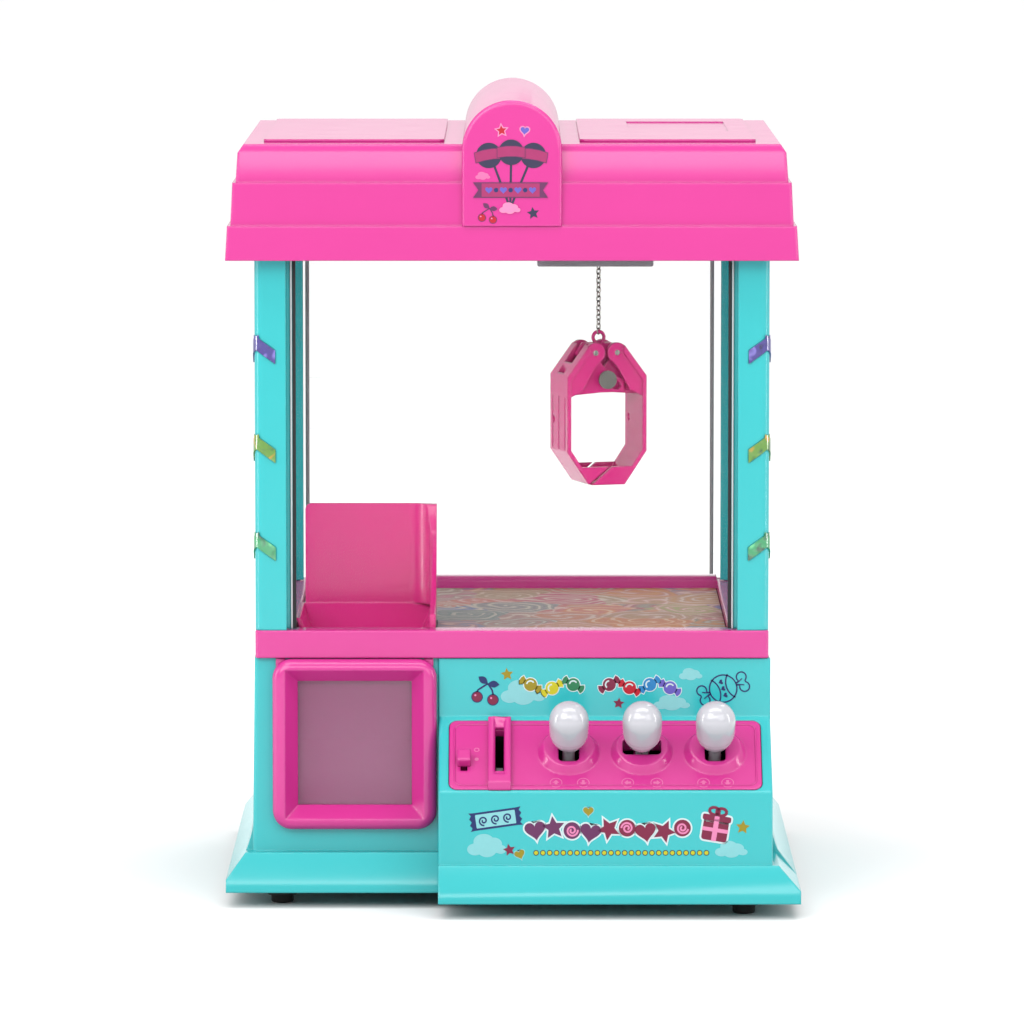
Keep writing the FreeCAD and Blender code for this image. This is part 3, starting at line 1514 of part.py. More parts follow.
def top_frame():
    zs = (s.column_top, s.column_top + s.frame_thick)
    outer = block("frame_outer", both(s.frame_half_wide), both(s.frame_half_deep), zs)
    opening = block("frame_opening", both(s.frame_open_half_wide), both(s.frame_open_half_deep),
                    (s.column_top - 1, s.column_top + s.frame_thick + 1))
    bore = drum("frame_pin_bore", "z", (s.rear_hinge_x, s.pane_y), s.rear_pin_radius + s.run_gap,
                s.column_top - 1, s.column_top + 3)
    node("top_frame", cut("frame_cut", outer, opening, bore))


# ---------------------------------------------------------------- gantry


def rack_tooth(name, low, high):
    """A rack tooth that points along -x from its root line, lying in the XY plane."""
    tip = s.gear_tip
    root = s.gear_root
    points = [
        (-tip, -s.tooth_tip_half), (root, -s.tooth_root_half),
        (root, s.tooth_root_half), (-tip, s.tooth_tip_half),
    ]
    return prism(name, "XY", points, low, high)


def rack(name, low, high, teeth_wanted, shift):
    """A straight rack along y, its pitch line at x = 0, moved on by a whole number of teeth."""
    pitch = s.gear_module * math.pi
    count = int(number_of(teeth_wanted))
    centre = pitch * shift
    tooth = rack_tooth(name + "_tooth", low, high)
    teeth = [
        copy_at(f"{name}_tooth_{index}", tooth, 0, centre + pitch * (index - count / 2 + 0.5))
        for index in range(count)
    ]
    half = pitch * (count / 2)
    bar = block(name + "_bar", (s.gear_root - 0.1, s.gear_root + s.rack_back),
                (centre - half, centre + half), (low, high))
    return join(name, bar, *teeth)


def gear(name, low, high):
    """A twelve-tooth pinion about the z axis, with one tooth pointing along +x."""
    pitch_radius = s.gear_module * s.gear_teeth / 2
    root = pitch_radius - s.gear_root
    tip = pitch_radius + s.gear_tip
    points = [
        (root - 0.4, -s.tooth_root_half), (tip, -s.tooth_tip_half),
        (tip, s.tooth_tip_half), (root - 0.4, s.tooth_root_half),
    ]
    tooth = prism(name + "_tooth", "XY", points, low, high)
    count = int(s.gear_teeth.number)
    teeth = [
        copy_at(f"{name}_tooth_{index}", tooth, 0, 0, 0, Vector(0, 0, 1), 360 / count * index)
        for index in range(count)
    ]
    hub = drum(name + "_hub", "z", (NIL, NIL), root, low, high)
    return join(name, hub, *teeth)


def gantry_rails():
    low = s.column_top + s.frame_thick
    high = low + s.rail_tall
    right = block("rail_right", (s.rail_in, s.rail_out), both(s.rail_half_long), (low, high))
    left = block("rail_left", (-s.rail_out, -s.rail_in), both(s.rail_half_long), (low, high))
    # Only the right rail carries teeth, on its inner side.
    pitch_x = s.bridge_gear_x + s.gear_module * s.gear_teeth / 2
    top = s.bridge_gear_low + s.gear_thick
    toothed = copy_at("rail_rack", rack("rail_rack_form", low, top, s.rail_rack_teeth, 0), pitch_x)
    node("gantry_rails", group("rail_pair", left, join("rail_right_toothed", right, toothed)))


def bridge_trucks():
    ys = (-s.truck_half_deep, s.truck_rear)
    rail_top = s.column_top + s.frame_thick + s.rail_tall
    gap = s.shoe_gap
    made = []
    for name, sign, inner in (("left", -1, s.truck_left_inner), ("right", 1, s.truck_right_inner)):
        xs = (inner, s.truck_outer) if sign > 0 else (-s.truck_outer, -inner)
        body = block(f"truck_{name}_body", xs, ys, (rail_top + gap, s.truck_top))
        outer = (s.rail_out + gap, s.truck_outer) if sign > 0 else (
            -s.truck_outer, -s.rail_out - gap)
        skirt = block(f"truck_{name}_skirt", outer, ys, (s.truck_skirt_low, rail_top + gap))
        tools = []
        for row, y_sign in (("front", -1), ("rear", 1)):
            reach = inner + s.rod_into_truck
            span = (inner - 1, reach) if sign > 0 else (-reach, -inner + 1)
            tools.append(drum(f"truck_{name}_bore_{row}", "x",
                              (s.bridge_rod_y * y_sign, s.bridge_rod_z), s.bridge_rod_radius,
                              span[0], span[1]))
        if sign > 0:
            centre = (s.bridge_gear_x, NIL)
            tools.append(drum("truck_motor_bore", "z", centre, s.bridge_motor_radius,
                              s.bridge_motor_low, s.truck_top + 1))
            tools.append(drum("truck_shaft_bore", "z", centre, s.gear_shaft_radius + s.run_gap,
                              rail_top, s.bridge_motor_low + 1))
        made.append(cut(f"truck_{name}", join(f"truck_{name}_all", body, skirt), *tools))
    node("bridge_trucks", group("truck_pair", *made))


def bridge_rods():
    left = -s.truck_left_inner - s.rod_into_truck
    right = s.truck_right_inner + s.rod_into_truck
    rods = [
        drum(f"bridge_rod_{row}", "x", (s.bridge_rod_y * sign, s.bridge_rod_z),
             s.bridge_rod_radius, left, right)
        for row, sign in (("front", -1), ("rear", 1))
    ]
    node("bridge_rods", group("bridge_rod_pair", *rods))


def bridge_rack():
    low = s.trolley_gear_low
    high = low + s.gear_thick
    form = rack("trolley_rack_form", low, high, s.bridge_rack_teeth, s.bridge_rack_shift)
    turned = copy_at("trolley_rack_turned", form, s.trolley_gear_x,
                     s.trolley_gear_y + s.gear_module * s.gear_teeth / 2, 0,
                     Vector(0, 0, 1), 90)
    bar = block(
        "trolley_rack_bar", (-s.truck_left_inner, s.truck_right_inner),
        (s.trolley_gear_y + s.gear_module * s.gear_teeth / 2 + s.gear_root,
         s.trolley_gear_y + s.gear_module * s.gear_teeth / 2 + s.gear_root + s.rack_back),
        (low, high),
    )
    reach = block("rack_reach", (-s.truck_left_inner, s.truck_right_inner),
                  both(s.tray_half_deep), (low - 1, high + 1))
    node("bridge_rack", shared("bridge_rack_trim", join("bridge_rack_all", turned, bar), reach))


def bridge_drive():
    centre = (s.bridge_gear_x, NIL)
    motor = drum("bridge_motor_can", "z", centre, s.bridge_motor_radius, s.bridge_motor_low,
                 s.bridge_motor_top)
    cap = drum("bridge_motor_cap", "z", centre, s.bridge_motor_radius - 4, s.bridge_motor_top,
               s.bridge_motor_top + 1.6)
    node("bridge_motor", join("bridge_motor_all", motor, cap))
    low = s.bridge_gear_low
    wheel = gear("bridge_gear", low, low + s.gear_thick)
    placed = copy_at("bridge_gear_placed", wheel, s.bridge_gear_x)
    shaft = drum("bridge_gear_shaft", "z", centre, s.gear_shaft_radius, low,
                 s.bridge_motor_low - 0.2)
    node("bridge_pinion", join("bridge_pinion_all", placed, shaft))


def trolley():
    x_low = s.trolley_x - s.trolley_half_wide
    x_high = s.trolley_x + s.trolley_half_wide
    wall = s.trolley_wall
    tub = block("trolley_tub", (x_low, x_high), both(s.trolley_half_deep),
                (s.trolley_low, s.trolley_rim))
    tub = rounded("trolley_tub_soft", tub, 1.0,
                  lambda middle, along: runs_along(along, "z")
                  or middle.z < s.trolley_low.number + 0.5)
    room = block("trolley_room", (x_low + wall, x_high - wall), both(s.trolley_half_deep - wall),
                 (s.trolley_low + wall, s.trolley_rim + 1))
    eye = drum("trolley_eye", "z", (s.claw_x, NIL), s.chain_hole_radius,
               s.trolley_low - 1, s.trolley_low + wall + 1)
    node("trolley_housing", cut("trolley_housing_cut", tub, room, eye))

    low = s.carrier_low
    top = low + s.carrier_thick
    plate = block("carrier_plate", (x_low + s.carrier_in, x_high - s.carrier_in),
                  both(s.trolley_half_deep - s.carrier_in - 3), (s.trolley_rim, top))
    adds = [plate]
    cuts = []
    for x_sign in (-1, 1):
        for y_sign in (-1, 1):
            x = s.trolley_x + s.carrier_boss_x * x_sign
            y = s.bridge_rod_y * y_sign
            half = s.carrier_boss_half
            tag = f"{'l' if x_sign < 0 else 'r'}{'f' if y_sign < 0 else 'b'}"
            adds.append(block(f"carrier_boss_{tag}", (x - half, x + half), (y - half, y + half),
                              (top - 0.5, s.carrier_boss_top)))
    for y_sign in (-1, 1):
        cuts.append(drum(f"carrier_rod_bore_{'f' if y_sign < 0 else 'b'}", "x",
                         (s.bridge_rod_y * y_sign, s.bridge_rod_z),
                         s.bridge_rod_radius + s.run_gap, x_low, x_high))
    for side, sign in (("left", -1), ("right", 1)):
        near = s.claw_x + s.drum_bracket_from * sign
        far = s.claw_x + (s.drum_bracket_from + s.drum_bracket_thick) * sign
        span = (far, near) if sign < 0 else (near, far)
        adds.append(block(f"drum_bracket_{side}", span, (s.drum_y - 4, s.drum_y + 4),
                          (s.drum_z - 4, s.trolley_rim + 1)))
    cuts.append(drum("drum_axle_bore", "x", (s.drum_y, s.drum_z), s.drum_axle_radius + s.run_gap,
                     x_low, x_high))
    cuts.append(drum("carrier_eye", "z", (s.claw_x, NIL), s.chain_hole_radius, low - 1, top + 1))
    cuts.append(drum("carrier_shaft_bore", "z", (s.trolley_gear_x, s.trolley_gear_y),
                     s.gear_shaft_radius + s.run_gap, low - 1, top + 1))
    node("trolley_carrier", cut("carrier_cut", join("carrier_all", *adds), *cuts))

    motor = drum("trolley_motor_can", "z", (s.trolley_gear_x, s.trolley_gear_y),
                 s.trolley_motor_radius, s.trolley_motor_low, s.trolley_rim - 0.2)
    hoist_low = s.claw_x + s.hoist_motor_from
    hoist = drum("hoist_motor_can", "x", (s.drum_y, s.drum_z), s.hoist_motor_radius, hoist_low,
                 hoist_low + s.hoist_motor_long)
    node("trolley_motors", group("trolley_motor_pair", motor, hoist))

    gear_low = s.trolley_gear_low
    wheel = gear("trolley_gear", gear_low, gear_low + s.gear_thick)
    placed = copy_at("trolley_gear_placed", wheel, s.trolley_gear_x, s.trolley_gear_y, 0,
                     Vector(0, 0, 1), 90)
    shaft = drum("trolley_gear_shaft", "z", (s.trolley_gear_x, s.trolley_gear_y),
                 s.gear_shaft_radius, s.trolley_rim, gear_low + 1)
    node("trolley_pinion", join("trolley_pinion_all", placed, shaft))

    half = s.drum_half_long
    spool = drum("spool", "x", (s.drum_y, s.drum_z), s.drum_radius, s.claw_x - half,
                 s.claw_x + half)
    flange = s.drum_flange_thick
    flanges = [
        drum("spool_flange_left", "x", (s.drum_y, s.drum_z), s.drum_flange_radius,
             s.claw_x - half - flange, s.claw_x - half),
        drum("spool_flange_right", "x", (s.drum_y, s.drum_z), s.drum_flange_radius,
             s.claw_x + half, s.claw_x + half + flange),
    ]
    reach = s.drum_bracket_from + s.drum_bracket_thick
    axle = drum("spool_axle", "x", (s.drum_y, s.drum_z), s.drum_axle_radius, s.claw_x - reach,
                s.claw_x + reach + 0.5)
    node("hoist_drum", join("hoist_drum_all", spool, *flanges, axle))


# ---------------------------------------------------------------- chain and claw
# These are drawn about the chain's own line, then turned and moved to it.


def chain():
    wire = s.link_wire_radius
    bend = s.link_half_wide
    straight = s.link_half_long - s.link_half_wide
    bends = []
    for name, sign in (("top", 1), ("foot", -1)):
        ring = doc.addObject("Part::Torus", "link_" + name)
        bind(ring, "Radius1", bend)
        bind(ring, "Radius2", wire)
        ring.Angle3 = 180
        turned = Rotation(Vector(1, 0, 0), 90)
        if sign < 0:
            turned = Rotation(Vector(0, 1, 0), 180).multiply(turned)
        ring.Placement = Placement(Vector(), turned)
        put(ring, 0, 0, straight * sign)
        bends.append(ring)
    sides = [
        drum(f"link_side_{index}", "z", (bend * sign, NIL), wire, -straight, straight)
        for index, sign in enumerate((-1, 1))
    ]
    link = join("chain_link", *bends, *sides)
    lowest = (s.ring_z + s.ring_radius - s.ring_wire_radius - wire - s.run_gap
              + s.link_half_long)
    links = [
        copy_at(f"chain_link_{index}", link, 0, 0, lowest + s.link_pitch * index,
                Vector(0, 0, 1), 90 if index % 2 == 0 else 0)
        for index in range(int(s.chain_links.number))
    ]
    node("chain", group("chain_links_all", *links), "claw")


def claw_puller():
    """The ring the chain hooks into, its stem, and the boss that carries the steel pin."""
    ring = doc.addObject("Part::Torus", "puller_ring")
    bind(ring, "Radius1", s.ring_radius)
    bind(ring, "Radius2", s.ring_wire_radius)
    ring.Placement = Placement(Vector(), Rotation(Vector(1, 0, 0), 90))
    put(ring, 0, 0, s.ring_z)
    stem = drum("puller_stem", "z", (NIL, NIL), s.puller_radius, s.claw_pin_z,
                s.ring_z - s.ring_radius + 0.3)
    boss = drum("puller_boss", "y", (NIL, s.claw_pin_z), s.puller_boss_radius,
                -s.puller_boss_half, s.puller_boss_half)
    bore = drum("puller_bore", "y", (NIL, s.claw_pin_z), s.claw_pin_radius,
                -s.puller_boss_half - 1, s.puller_boss_half + 1)
    node("claw_puller", cut("puller_cut", join("puller_all", ring, stem, boss), bore), "claw")


def claw_pin():
    reach = s.claw_pin_half_long
    pin = drum("claw_pin_rod", "y", (NIL, s.claw_pin_z), s.claw_pin_radius, -reach, reach)
    discs = [
        drum("claw_disc_front", "y", (NIL, s.claw_pin_z), s.claw_disc_radius,
             -reach, -reach + s.claw_disc_thick),
        drum("claw_disc_rear", "y", (NIL, s.claw_pin_z), s.claw_disc_radius,
             reach - s.claw_disc_thick, reach),
    ]
    node("claw_pin", join("claw_pin_all", pin, *discs), "claw")


def claw_head():
    """Two cheeks and a web that guide the puller and hold the jaws' two hinge pins."""
    top = s.head_top
    half = s.head_half_wide
    low = s.head_low
    points = [
        (-half, s.knuckle_z - 1), (-half + 3.4, top), (half - 3.4, top), (half, s.knuckle_z - 1),
        (half - 4.5, low), (-half + 4.5, low),
    ]
    blank = prism("head_blank", "XZ", points, -s.cheek_out, s.cheek_out)
    room = block("head_room", both(half + 1), both(s.cheek_in), (s.head_web_top, top + 1))
    stem_bore = drum("head_stem_bore", "z", (NIL, NIL), s.puller_radius + s.run_gap,
                     low - 1, s.head_web_top + 1)
    pin_bores = [
        drum(f"head_bore_{index}", "y", (s.knuckle_x * sign, s.knuckle_z), s.knuckle_pin_radius,
             -s.cheek_out - 1, s.cheek_out + 1)
        for index, sign in enumerate((-1, 1))
    ]
    node("claw_head", cut("head_cut", blank, room, stem_bore, *pin_bores), "claw")
    reach = s.arm_plate_out
    pins = [
        drum(f"knuckle_pin_{index}", "y", (s.knuckle_x * sign, s.knuckle_z),
             s.knuckle_pin_radius, -reach, reach)
        for index, sign in enumerate((-1, 1))
    ]
    node("knuckle_pins", group("knuckle_pin_pair", *pins), "claw")


def octagon(name, shrink, high):
    """The closed claw seen from the front: upright walls, slanting in to a flat bottom."""
    low = s.jaw_low + shrink
    points = [
        (-s.jaw_half_wide + shrink, high), (-s.jaw_half_wide + shrink, s.jaw_wall_low + shrink / 2),
        (-s.jaw_low_half + shrink / 2, low), (s.jaw_low_half - shrink / 2, low),
        (s.jaw_half_wide - shrink, s.jaw_wall_low + shrink / 2), (s.jaw_half_wide - shrink, high),
    ]
    return prism(name, "XZ", points, -s.jaw_half_deep, s.jaw_half_deep)


def jaw_slot(name, sign):
    """The slot in a jaw's ears that the steel pin slides along as the jaw opens."""
    reach = s.jaw_half_deep
    stations = []
    for part in (0, 0.5, 1):
        angle = s.jaw_open_angle * part
        fall = s.knuckle_z - s.claw_pin_z + s.jaw_open_lift * part
        x = -s.knuckle_x + s.knuckle_x * cosine(angle) + fall * sine(angle)
        z = s.knuckle_z + s.knuckle_x * sine(angle) - fall * cosine(angle)
        stations.append((x * sign, z))
    pieces = []
    for index, place in enumerate(stations):
        pieces.append(drum(f"{name}_end_{index}", "y", place, s.ear_slot_radius, -reach, reach))
    for index, (start, end) in enumerate(zip(stations, stations[1:])):
        dx = number_of(end[0]) - number_of(start[0])
        dz = number_of(end[1]) - number_of(start[1])
        long = math.hypot(dx, dz)
        off_x = -dz / long * s.ear_slot_radius
        off_z = dx / long * s.ear_slot_radius
        points = [
            (start[0] + off_x, start[1] + off_z), (end[0] + off_x, end[1] + off_z),
            (end[0] - off_x, end[1] - off_z), (start[0] - off_x, start[1] - off_z),
        ]
        pieces.append(prism(f"{name}_run_{index}", "XZ", points, -reach, reach))
    return join(name, *pieces)


def jaw(label, sign, frame):
    """sign is +1 for the left jaw: its ears reach towards +x."""
    side = -1 * sign
    # Everything on this jaw's side of the slanting split, where the two scoops meet.
    run = s.split_high_x - s.split_low_x
    rise = s.split_high_z - s.split_low_z
    gap = s.split_half_gap * side
    low_z = s.jaw_low - 2
    high_z = s.jaw_lip_top + 2
    low_x = s.split_low_x + run / rise * (low_z - s.split_low_z) + gap
    high_x = s.split_low_x + run / rise * (high_z - s.split_low_z) + gap
    far = (s.jaw_half_wide + 5) * side
    tall = s.jaw_shoulder_z + 5
    points = [(low_x, low_z), (high_x, high_z), (high_x, tall), (far, tall), (far, low_z)]
    keep = prism(label + "_side", "XZ", points, -s.jaw_half_deep - 1, s.jaw_half_deep + 1)
    scoop = shared(label + "_scoop", frame, keep)

    knuckle = (s.knuckle_x * side, s.knuckle_z)
    shoulder = s.jaw_half_wide * side
    arm_points = [
        ((s.knuckle_x + 3.3) * side, s.knuckle_z + 3.3), (shoulder, s.jaw_shoulder_z + 2),
        (shoulder, s.jaw_plate_low), ((s.jaw_half_wide - s.jaw_thick) * side, s.jaw_plate_low),
        (11.5 * side, s.jaw_plate_low + 3), (5.2 * side, s.knuckle_z - 6.5),
        ((s.knuckle_x - 4.4) * side, s.knuckle_z - 1.4),
    ]
    pieces = [scoop]
    for row, (low, high) in (("front", (-s.arm_plate_out, -s.arm_plate_in)),
                             ("rear", (s.arm_plate_in, s.arm_plate_out))):
        pieces.append(prism(f"{label}_arm_{row}", "XZ", arm_points, low, high))
        pieces.append(drum(f"{label}_knuckle_{row}", "y", knuckle, s.knuckle_radius, low, high))
    slab_points = [
        ((s.knuckle_x + 3.3) * side, s.knuckle_z + 3.3), (shoulder, s.jaw_shoulder_z + 2),
        (shoulder, s.jaw_shoulder_z - 3), ((s.jaw_half_wide - s.jaw_thick) * side,
                                           s.jaw_shoulder_z - 3),
        ((s.jaw_half_wide - s.jaw_thick) * side, s.jaw_shoulder_z + 1 - s.arm_slab_thick / 2),
        ((s.knuckle_x + 2.6) * side, s.knuckle_z + 2.6 - s.arm_slab_thick * 1.2),
    ]
    slab = prism(f"{label}_slab", "XZ", slab_points, -s.jaw_half_deep, s.jaw_half_deep)
    trim = block(f"{label}_notch", both(s.arm_notch_half_wide), both(s.arm_notch_half),
                 (s.jaw_shoulder_z, s.head_top + 8))
    window = block(f"{label}_window",
                   ((s.jaw_half_wide - 3.4) * side, (s.jaw_half_wide - 1) * side) if side > 0
                   else ((s.jaw_half_wide - 1) * side, (s.jaw_half_wide - 3.4) * side),
                   both(s.arm_window_half), (s.jaw_shoulder_z, s.head_top))
    pieces.append(cut(f"{label}_slab_cut", slab, trim, window))

    ear_out = s.left_ear_out if sign > 0 else s.right_ear_out
    ear_in = s.left_ear_in if sign > 0 else s.right_ear_in
    ear_points = [
        ((s.jaw_half_wide - 1) * side, s.jaw_plate_low + 0.6), (2 * side, s.ear_low),
        (-s.ear_reach * side, s.ear_low), (-s.ear_reach * side, s.claw_pin_z - 0.6),
        (-1.5 * side, s.claw_pin_z + 3.4), (4 * side, s.knuckle_z - 2), (9 * side, s.knuckle_z - 2),
        ((s.jaw_half_wide - 1) * side, s.jaw_shoulder_z),
    ]
    for row, (low, high) in (("front", (-ear_out, -ear_in)), ("rear", (ear_in, ear_out))):
        pieces.append(prism(f"{label}_ear_{row}", "XZ", ear_points, low, high))
    bridge_xs = (11.2 * side, (s.jaw_half_wide - 1.2) * side)
    bridge_xs = bridge_xs if side > 0 else (bridge_xs[1], bridge_xs[0])
    for row, y_sign in (("front", -1), ("rear", 1)):
        span = (ear_in * y_sign, s.arm_plate_out * y_sign)
        span = span if y_sign > 0 else (span[1], span[0])
        pieces.append(block(f"{label}_bridge_{row}", bridge_xs, span,
                            (s.jaw_plate_low + 2.6, s.jaw_shoulder_z - 1)))
    bore = drum(f"{label}_bore", "y", knuckle, s.knuckle_pin_radius + s.run_gap,
                -s.jaw_half_deep - 1, s.jaw_half_deep + 1)
    deep = s.jaw_half_wide - s.groove_deep
    grooves = [
        block(f"{label}_groove_{row}", signed(side, deep, s.jaw_half_wide + 1),
              (y - s.groove_wide / 2, y + s.groove_wide / 2), (s.groove_low, s.groove_top))
        for row, y in (("front", -s.groove_side_y), ("middle", NIL), ("rear", s.groove_side_y))
    ]
    hole = drum(f"{label}_hole", "x", (s.jaw_hole_y, s.jaw_hole_z), s.jaw_hole_radius,
                *signed(side, deep - 3, s.jaw_half_wide + 1))
    whole = cut(f"{label}_cut", join(f"{label}_all", *pieces), jaw_slot(f"{label}_slot", sign),
                bore, hole, *grooves)
    node(label, whole, "claw")


def jaws():
    outer = octagon("claw_form", NIL, s.jaw_shoulder_z)
    inner = octagon("claw_room", s.jaw_thick, s.jaw_shoulder_z + 1)
    walls = cut("claw_walls", outer, inner)
    lips = []
    lip = shared("claw_lip_form", octagon("claw_lip_blank", NIL, s.jaw_shoulder_z),
                 block("claw_lip_band", both(s.jaw_half_wide), both(s.jaw_half_deep),
                       (s.jaw_low, s.jaw_lip_top)))
    middle = block("claw_lip_middle", both(s.jaw_half_wide + 1), both(s.jaw_half_deep - s.jaw_thick),
                   (s.jaw_low - 1, s.jaw_lip_top + 1))
    lips.append(cut("claw_lips", lip, middle))
    frame = join("claw_frame", walls, *lips)
    jaw("jaw_left", 1, frame)
    jaw("jaw_right", -1, frame)


# ---------------------------------------------------------------- inside the base


def battery_box():
    wall = s.thin_wall
    low = s.plate_low + s.plate_thick
    outer = block("battery_outer", (s.battery_left, s.battery_right),
                  (s.battery_front, s.battery_back), (low, low + s.battery_tall))
    inner = block("battery_inner", (s.battery_left + wall, s.battery_right - wall),
                  (s.battery_front + wall, s.battery_back - wall),
                  (low - 1, low + s.battery_tall - wall))
    x, y = cover_screw_place()
    post = block("battery_post", (x - 3, x + 3), (s.battery_front + wall / 2, y + 4),
                 (low, low + 8))
    bore = drum("battery_post_bore", "z", (x, y), s.screw_radius, low - 1, low + 9)
    box = join("battery_box_all", cut("battery_box_hollow", outer, inner), post)
    node("battery_box", cut("battery_box_cut", box, bore))
    zs = (s.plate_low, low - 0.2)
    gap = s.fit_gap
    cover = block(
        "battery_cover_plate", (s.battery_left + s.battery_lip + gap, s.battery_right - s.battery_lip - gap),
        (s.battery_front + s.battery_lip + gap, s.battery_back - s.battery_lip - gap), zs)
    screw_bore = drum("battery_cover_bore", "z", cover_screw_place(), s.screw_radius,
                      s.plate_low - 1, low)
    node("battery_cover", cut("battery_cover_cut", cover, screw_bore))
    cell = (s.battery_right - s.battery_left - wall * 2) / 3
    contacts = []
    middle = low + s.battery_tall / 2
    for index in range(3):
        x = s.battery_left + wall + cell * (index + 0.5)
        contacts.append(drum(f"contact_spring_{index}", "y", (x, middle), s.contact_radius,
                             s.battery_back - wall - s.contact_tall, s.battery_back - wall))
        contacts.append(drum(f"contact_plate_{index}", "y", (x, middle), s.contact_radius,
                             s.battery_front + wall, s.battery_front + wall + 0.8))
    node("battery_contacts", group("battery_contact_set", *contacts))


def electronics():
    low = s.plate_low + s.plate_thick
    board = block("board_sheet", (s.board_left, s.board_right), (s.board_front, s.board_back),
                  (s.board_low, s.board_low + s.board_thick))
    posts = []
    for index, (x, y) in enumerate((
        (s.board_left + 4, s.board_front + 4), (s.board_right - 4, s.board_front + 4),
        (s.board_left + 4, s.board_back - 4), (s.board_right - 4, s.board_back - 4),
    )):
        posts.append(drum(f"board_leg_{index}", "z", (x, y), s.boss_radius / 2, low, s.board_low))
    top = s.board_low + s.board_thick
    chip = block("board_chip", (s.board_left + 24, s.board_left + 44),
                 (s.board_front + 16, s.board_front + 28), (top, top + 3))
    can = drum("board_can", "z", (s.board_right - 18, s.board_back - 14), s.boss_radius, top,
               top + 12)
    plug = block("board_plug", (s.board_right - 34, s.board_right - 10),
                 (s.board_front + 3, s.board_front + 10), (top, top + 8))
    node("control_board", join("control_board_all", board, *posts, chip, can, plug))
    place = (s.speaker_x, s.speaker_y)
    basket = cone("speaker_basket", place, s.speaker_radius, s.speaker_radius / 2, low,
                  low + s.speaker_tall - 5)
    magnet = drum("speaker_magnet", "z", place, s.speaker_radius / 2, low + s.speaker_tall - 5,
                  low + s.speaker_tall)
    cone_room = cone("speaker_cone_room", place, s.speaker_radius - 3, s.speaker_radius / 4,
                     low - 0.01, low + s.speaker_tall - 7)
    node("speaker", cut("speaker_cut", join("speaker_all", basket, magnet), cone_room))


# ---------------------------------------------------------------- the machine


def build():
    shell = base_shell()
    base_plate()
    base_screws()
    rubber_feet()
    console_housing()
    control_panel()
    lever_pins()
    levers()
    coin_slot_bezel()
    coin_chute()
    coin_flap()
    power_switch()
    prize_door_bezel(shell)
    prize_door()
    prize_bin()
    prize_chute()
    tray_frame()
    play_floor()
    columns_and_lenses()
    panes()
    seals()
    rear_door()
    roof = roof_shell()
    roof_arch(roof)
    roof_panels()
    top_frame()
    gantry_rails()
    bridge_trucks()
    bridge_rods()
    bridge_rack()
    bridge_drive()
    trolley()
    chain()
    claw_puller()
    claw_pin()
    claw_head()
    jaws()
    battery_box()
    electronics()


def check_and_export():
    doc.recompute()
    faults = []
    for item in doc.Objects:
        if "Invalid" in item.State or "Error" in item.State:
            faults.append(f"{item.Name}: {item.State}")
    for item in nodes:
        shape = item.Shape
        if shape.isNull() or not shape.isValid() or not shape.Solids:
            faults.append(f"{item.Label}: bad shape")
    if faults:
        raise RuntimeError("; ".join(faults))
    os.makedirs("parts", exist_ok=True)
    for item in nodes:
        item.Shape.exportStep(f"parts/{item.Label}.step")
        box = item.Shape.BoundBox
        print(f"{item.Label:20s} solids {len(item.Shape.Solids):3d} volume {item.Shape.Volume:10.1f}"
              f" x {box.XMin:7.1f} {box.XMax:7.1f} y {box.YMin:7.1f} {box.YMax:7.1f}"
              f" z {box.ZMin:7.1f} {box.ZMax:7.1f}")
    print(len(nodes), "nodes")


build()
check_and_export()
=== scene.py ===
import json
import math

import bmesh
import bpy
from mathutils import Matrix, Vector


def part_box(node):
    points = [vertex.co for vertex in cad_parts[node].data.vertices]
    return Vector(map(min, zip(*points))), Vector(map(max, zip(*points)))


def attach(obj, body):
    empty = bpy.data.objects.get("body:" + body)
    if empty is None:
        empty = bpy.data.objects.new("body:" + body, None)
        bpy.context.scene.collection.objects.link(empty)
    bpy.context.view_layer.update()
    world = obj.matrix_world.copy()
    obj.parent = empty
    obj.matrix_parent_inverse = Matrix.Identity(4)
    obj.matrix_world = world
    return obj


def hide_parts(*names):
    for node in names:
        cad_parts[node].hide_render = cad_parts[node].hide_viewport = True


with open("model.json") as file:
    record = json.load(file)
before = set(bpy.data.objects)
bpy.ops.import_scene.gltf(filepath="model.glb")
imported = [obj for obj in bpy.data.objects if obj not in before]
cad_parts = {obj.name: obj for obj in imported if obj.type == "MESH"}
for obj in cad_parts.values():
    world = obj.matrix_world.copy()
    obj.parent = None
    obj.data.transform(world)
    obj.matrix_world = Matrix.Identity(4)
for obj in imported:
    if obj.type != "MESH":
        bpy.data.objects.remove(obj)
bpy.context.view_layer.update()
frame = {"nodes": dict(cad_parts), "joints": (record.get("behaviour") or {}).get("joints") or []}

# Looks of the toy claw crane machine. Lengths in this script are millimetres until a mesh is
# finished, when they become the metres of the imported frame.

MM = 0.001
JOINTS = {joint["name"]: joint for joint in frame["joints"]}


def millimetres(point):
    return Vector(point) / MM


def span(node):
    """Low and high corner of a CAD node, in millimetres."""
    low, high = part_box(node)
    return millimetres(low), millimetres(high)


# ---------------------------------------------------------------- places read from the frame

TRAY_LOW, TRAY_HIGH = span("tray_frame")
CABINET_Y = (TRAY_LOW.y + TRAY_HIGH.y) / 2
ARCH_FRONT = span("roof_arch")[0].y
MIDDLE_TILT = Vector(JOINTS["lever_middle_tilt"]["axis"])
SLOPE_ANGLE = math.atan2(MIDDLE_TILT.z, MIDDLE_TILT.y)
CHAIN_LOW, CHAIN_HIGH = span("chain")
CHAIN_X = (CHAIN_LOW.x + CHAIN_HIGH.x) / 2
JAW_AXIS = Vector(JOINTS["jaw_left_hinge"]["axis"])
CLAW_TURN = math.atan2(-JAW_AXIS.x, JAW_AXIS.y)

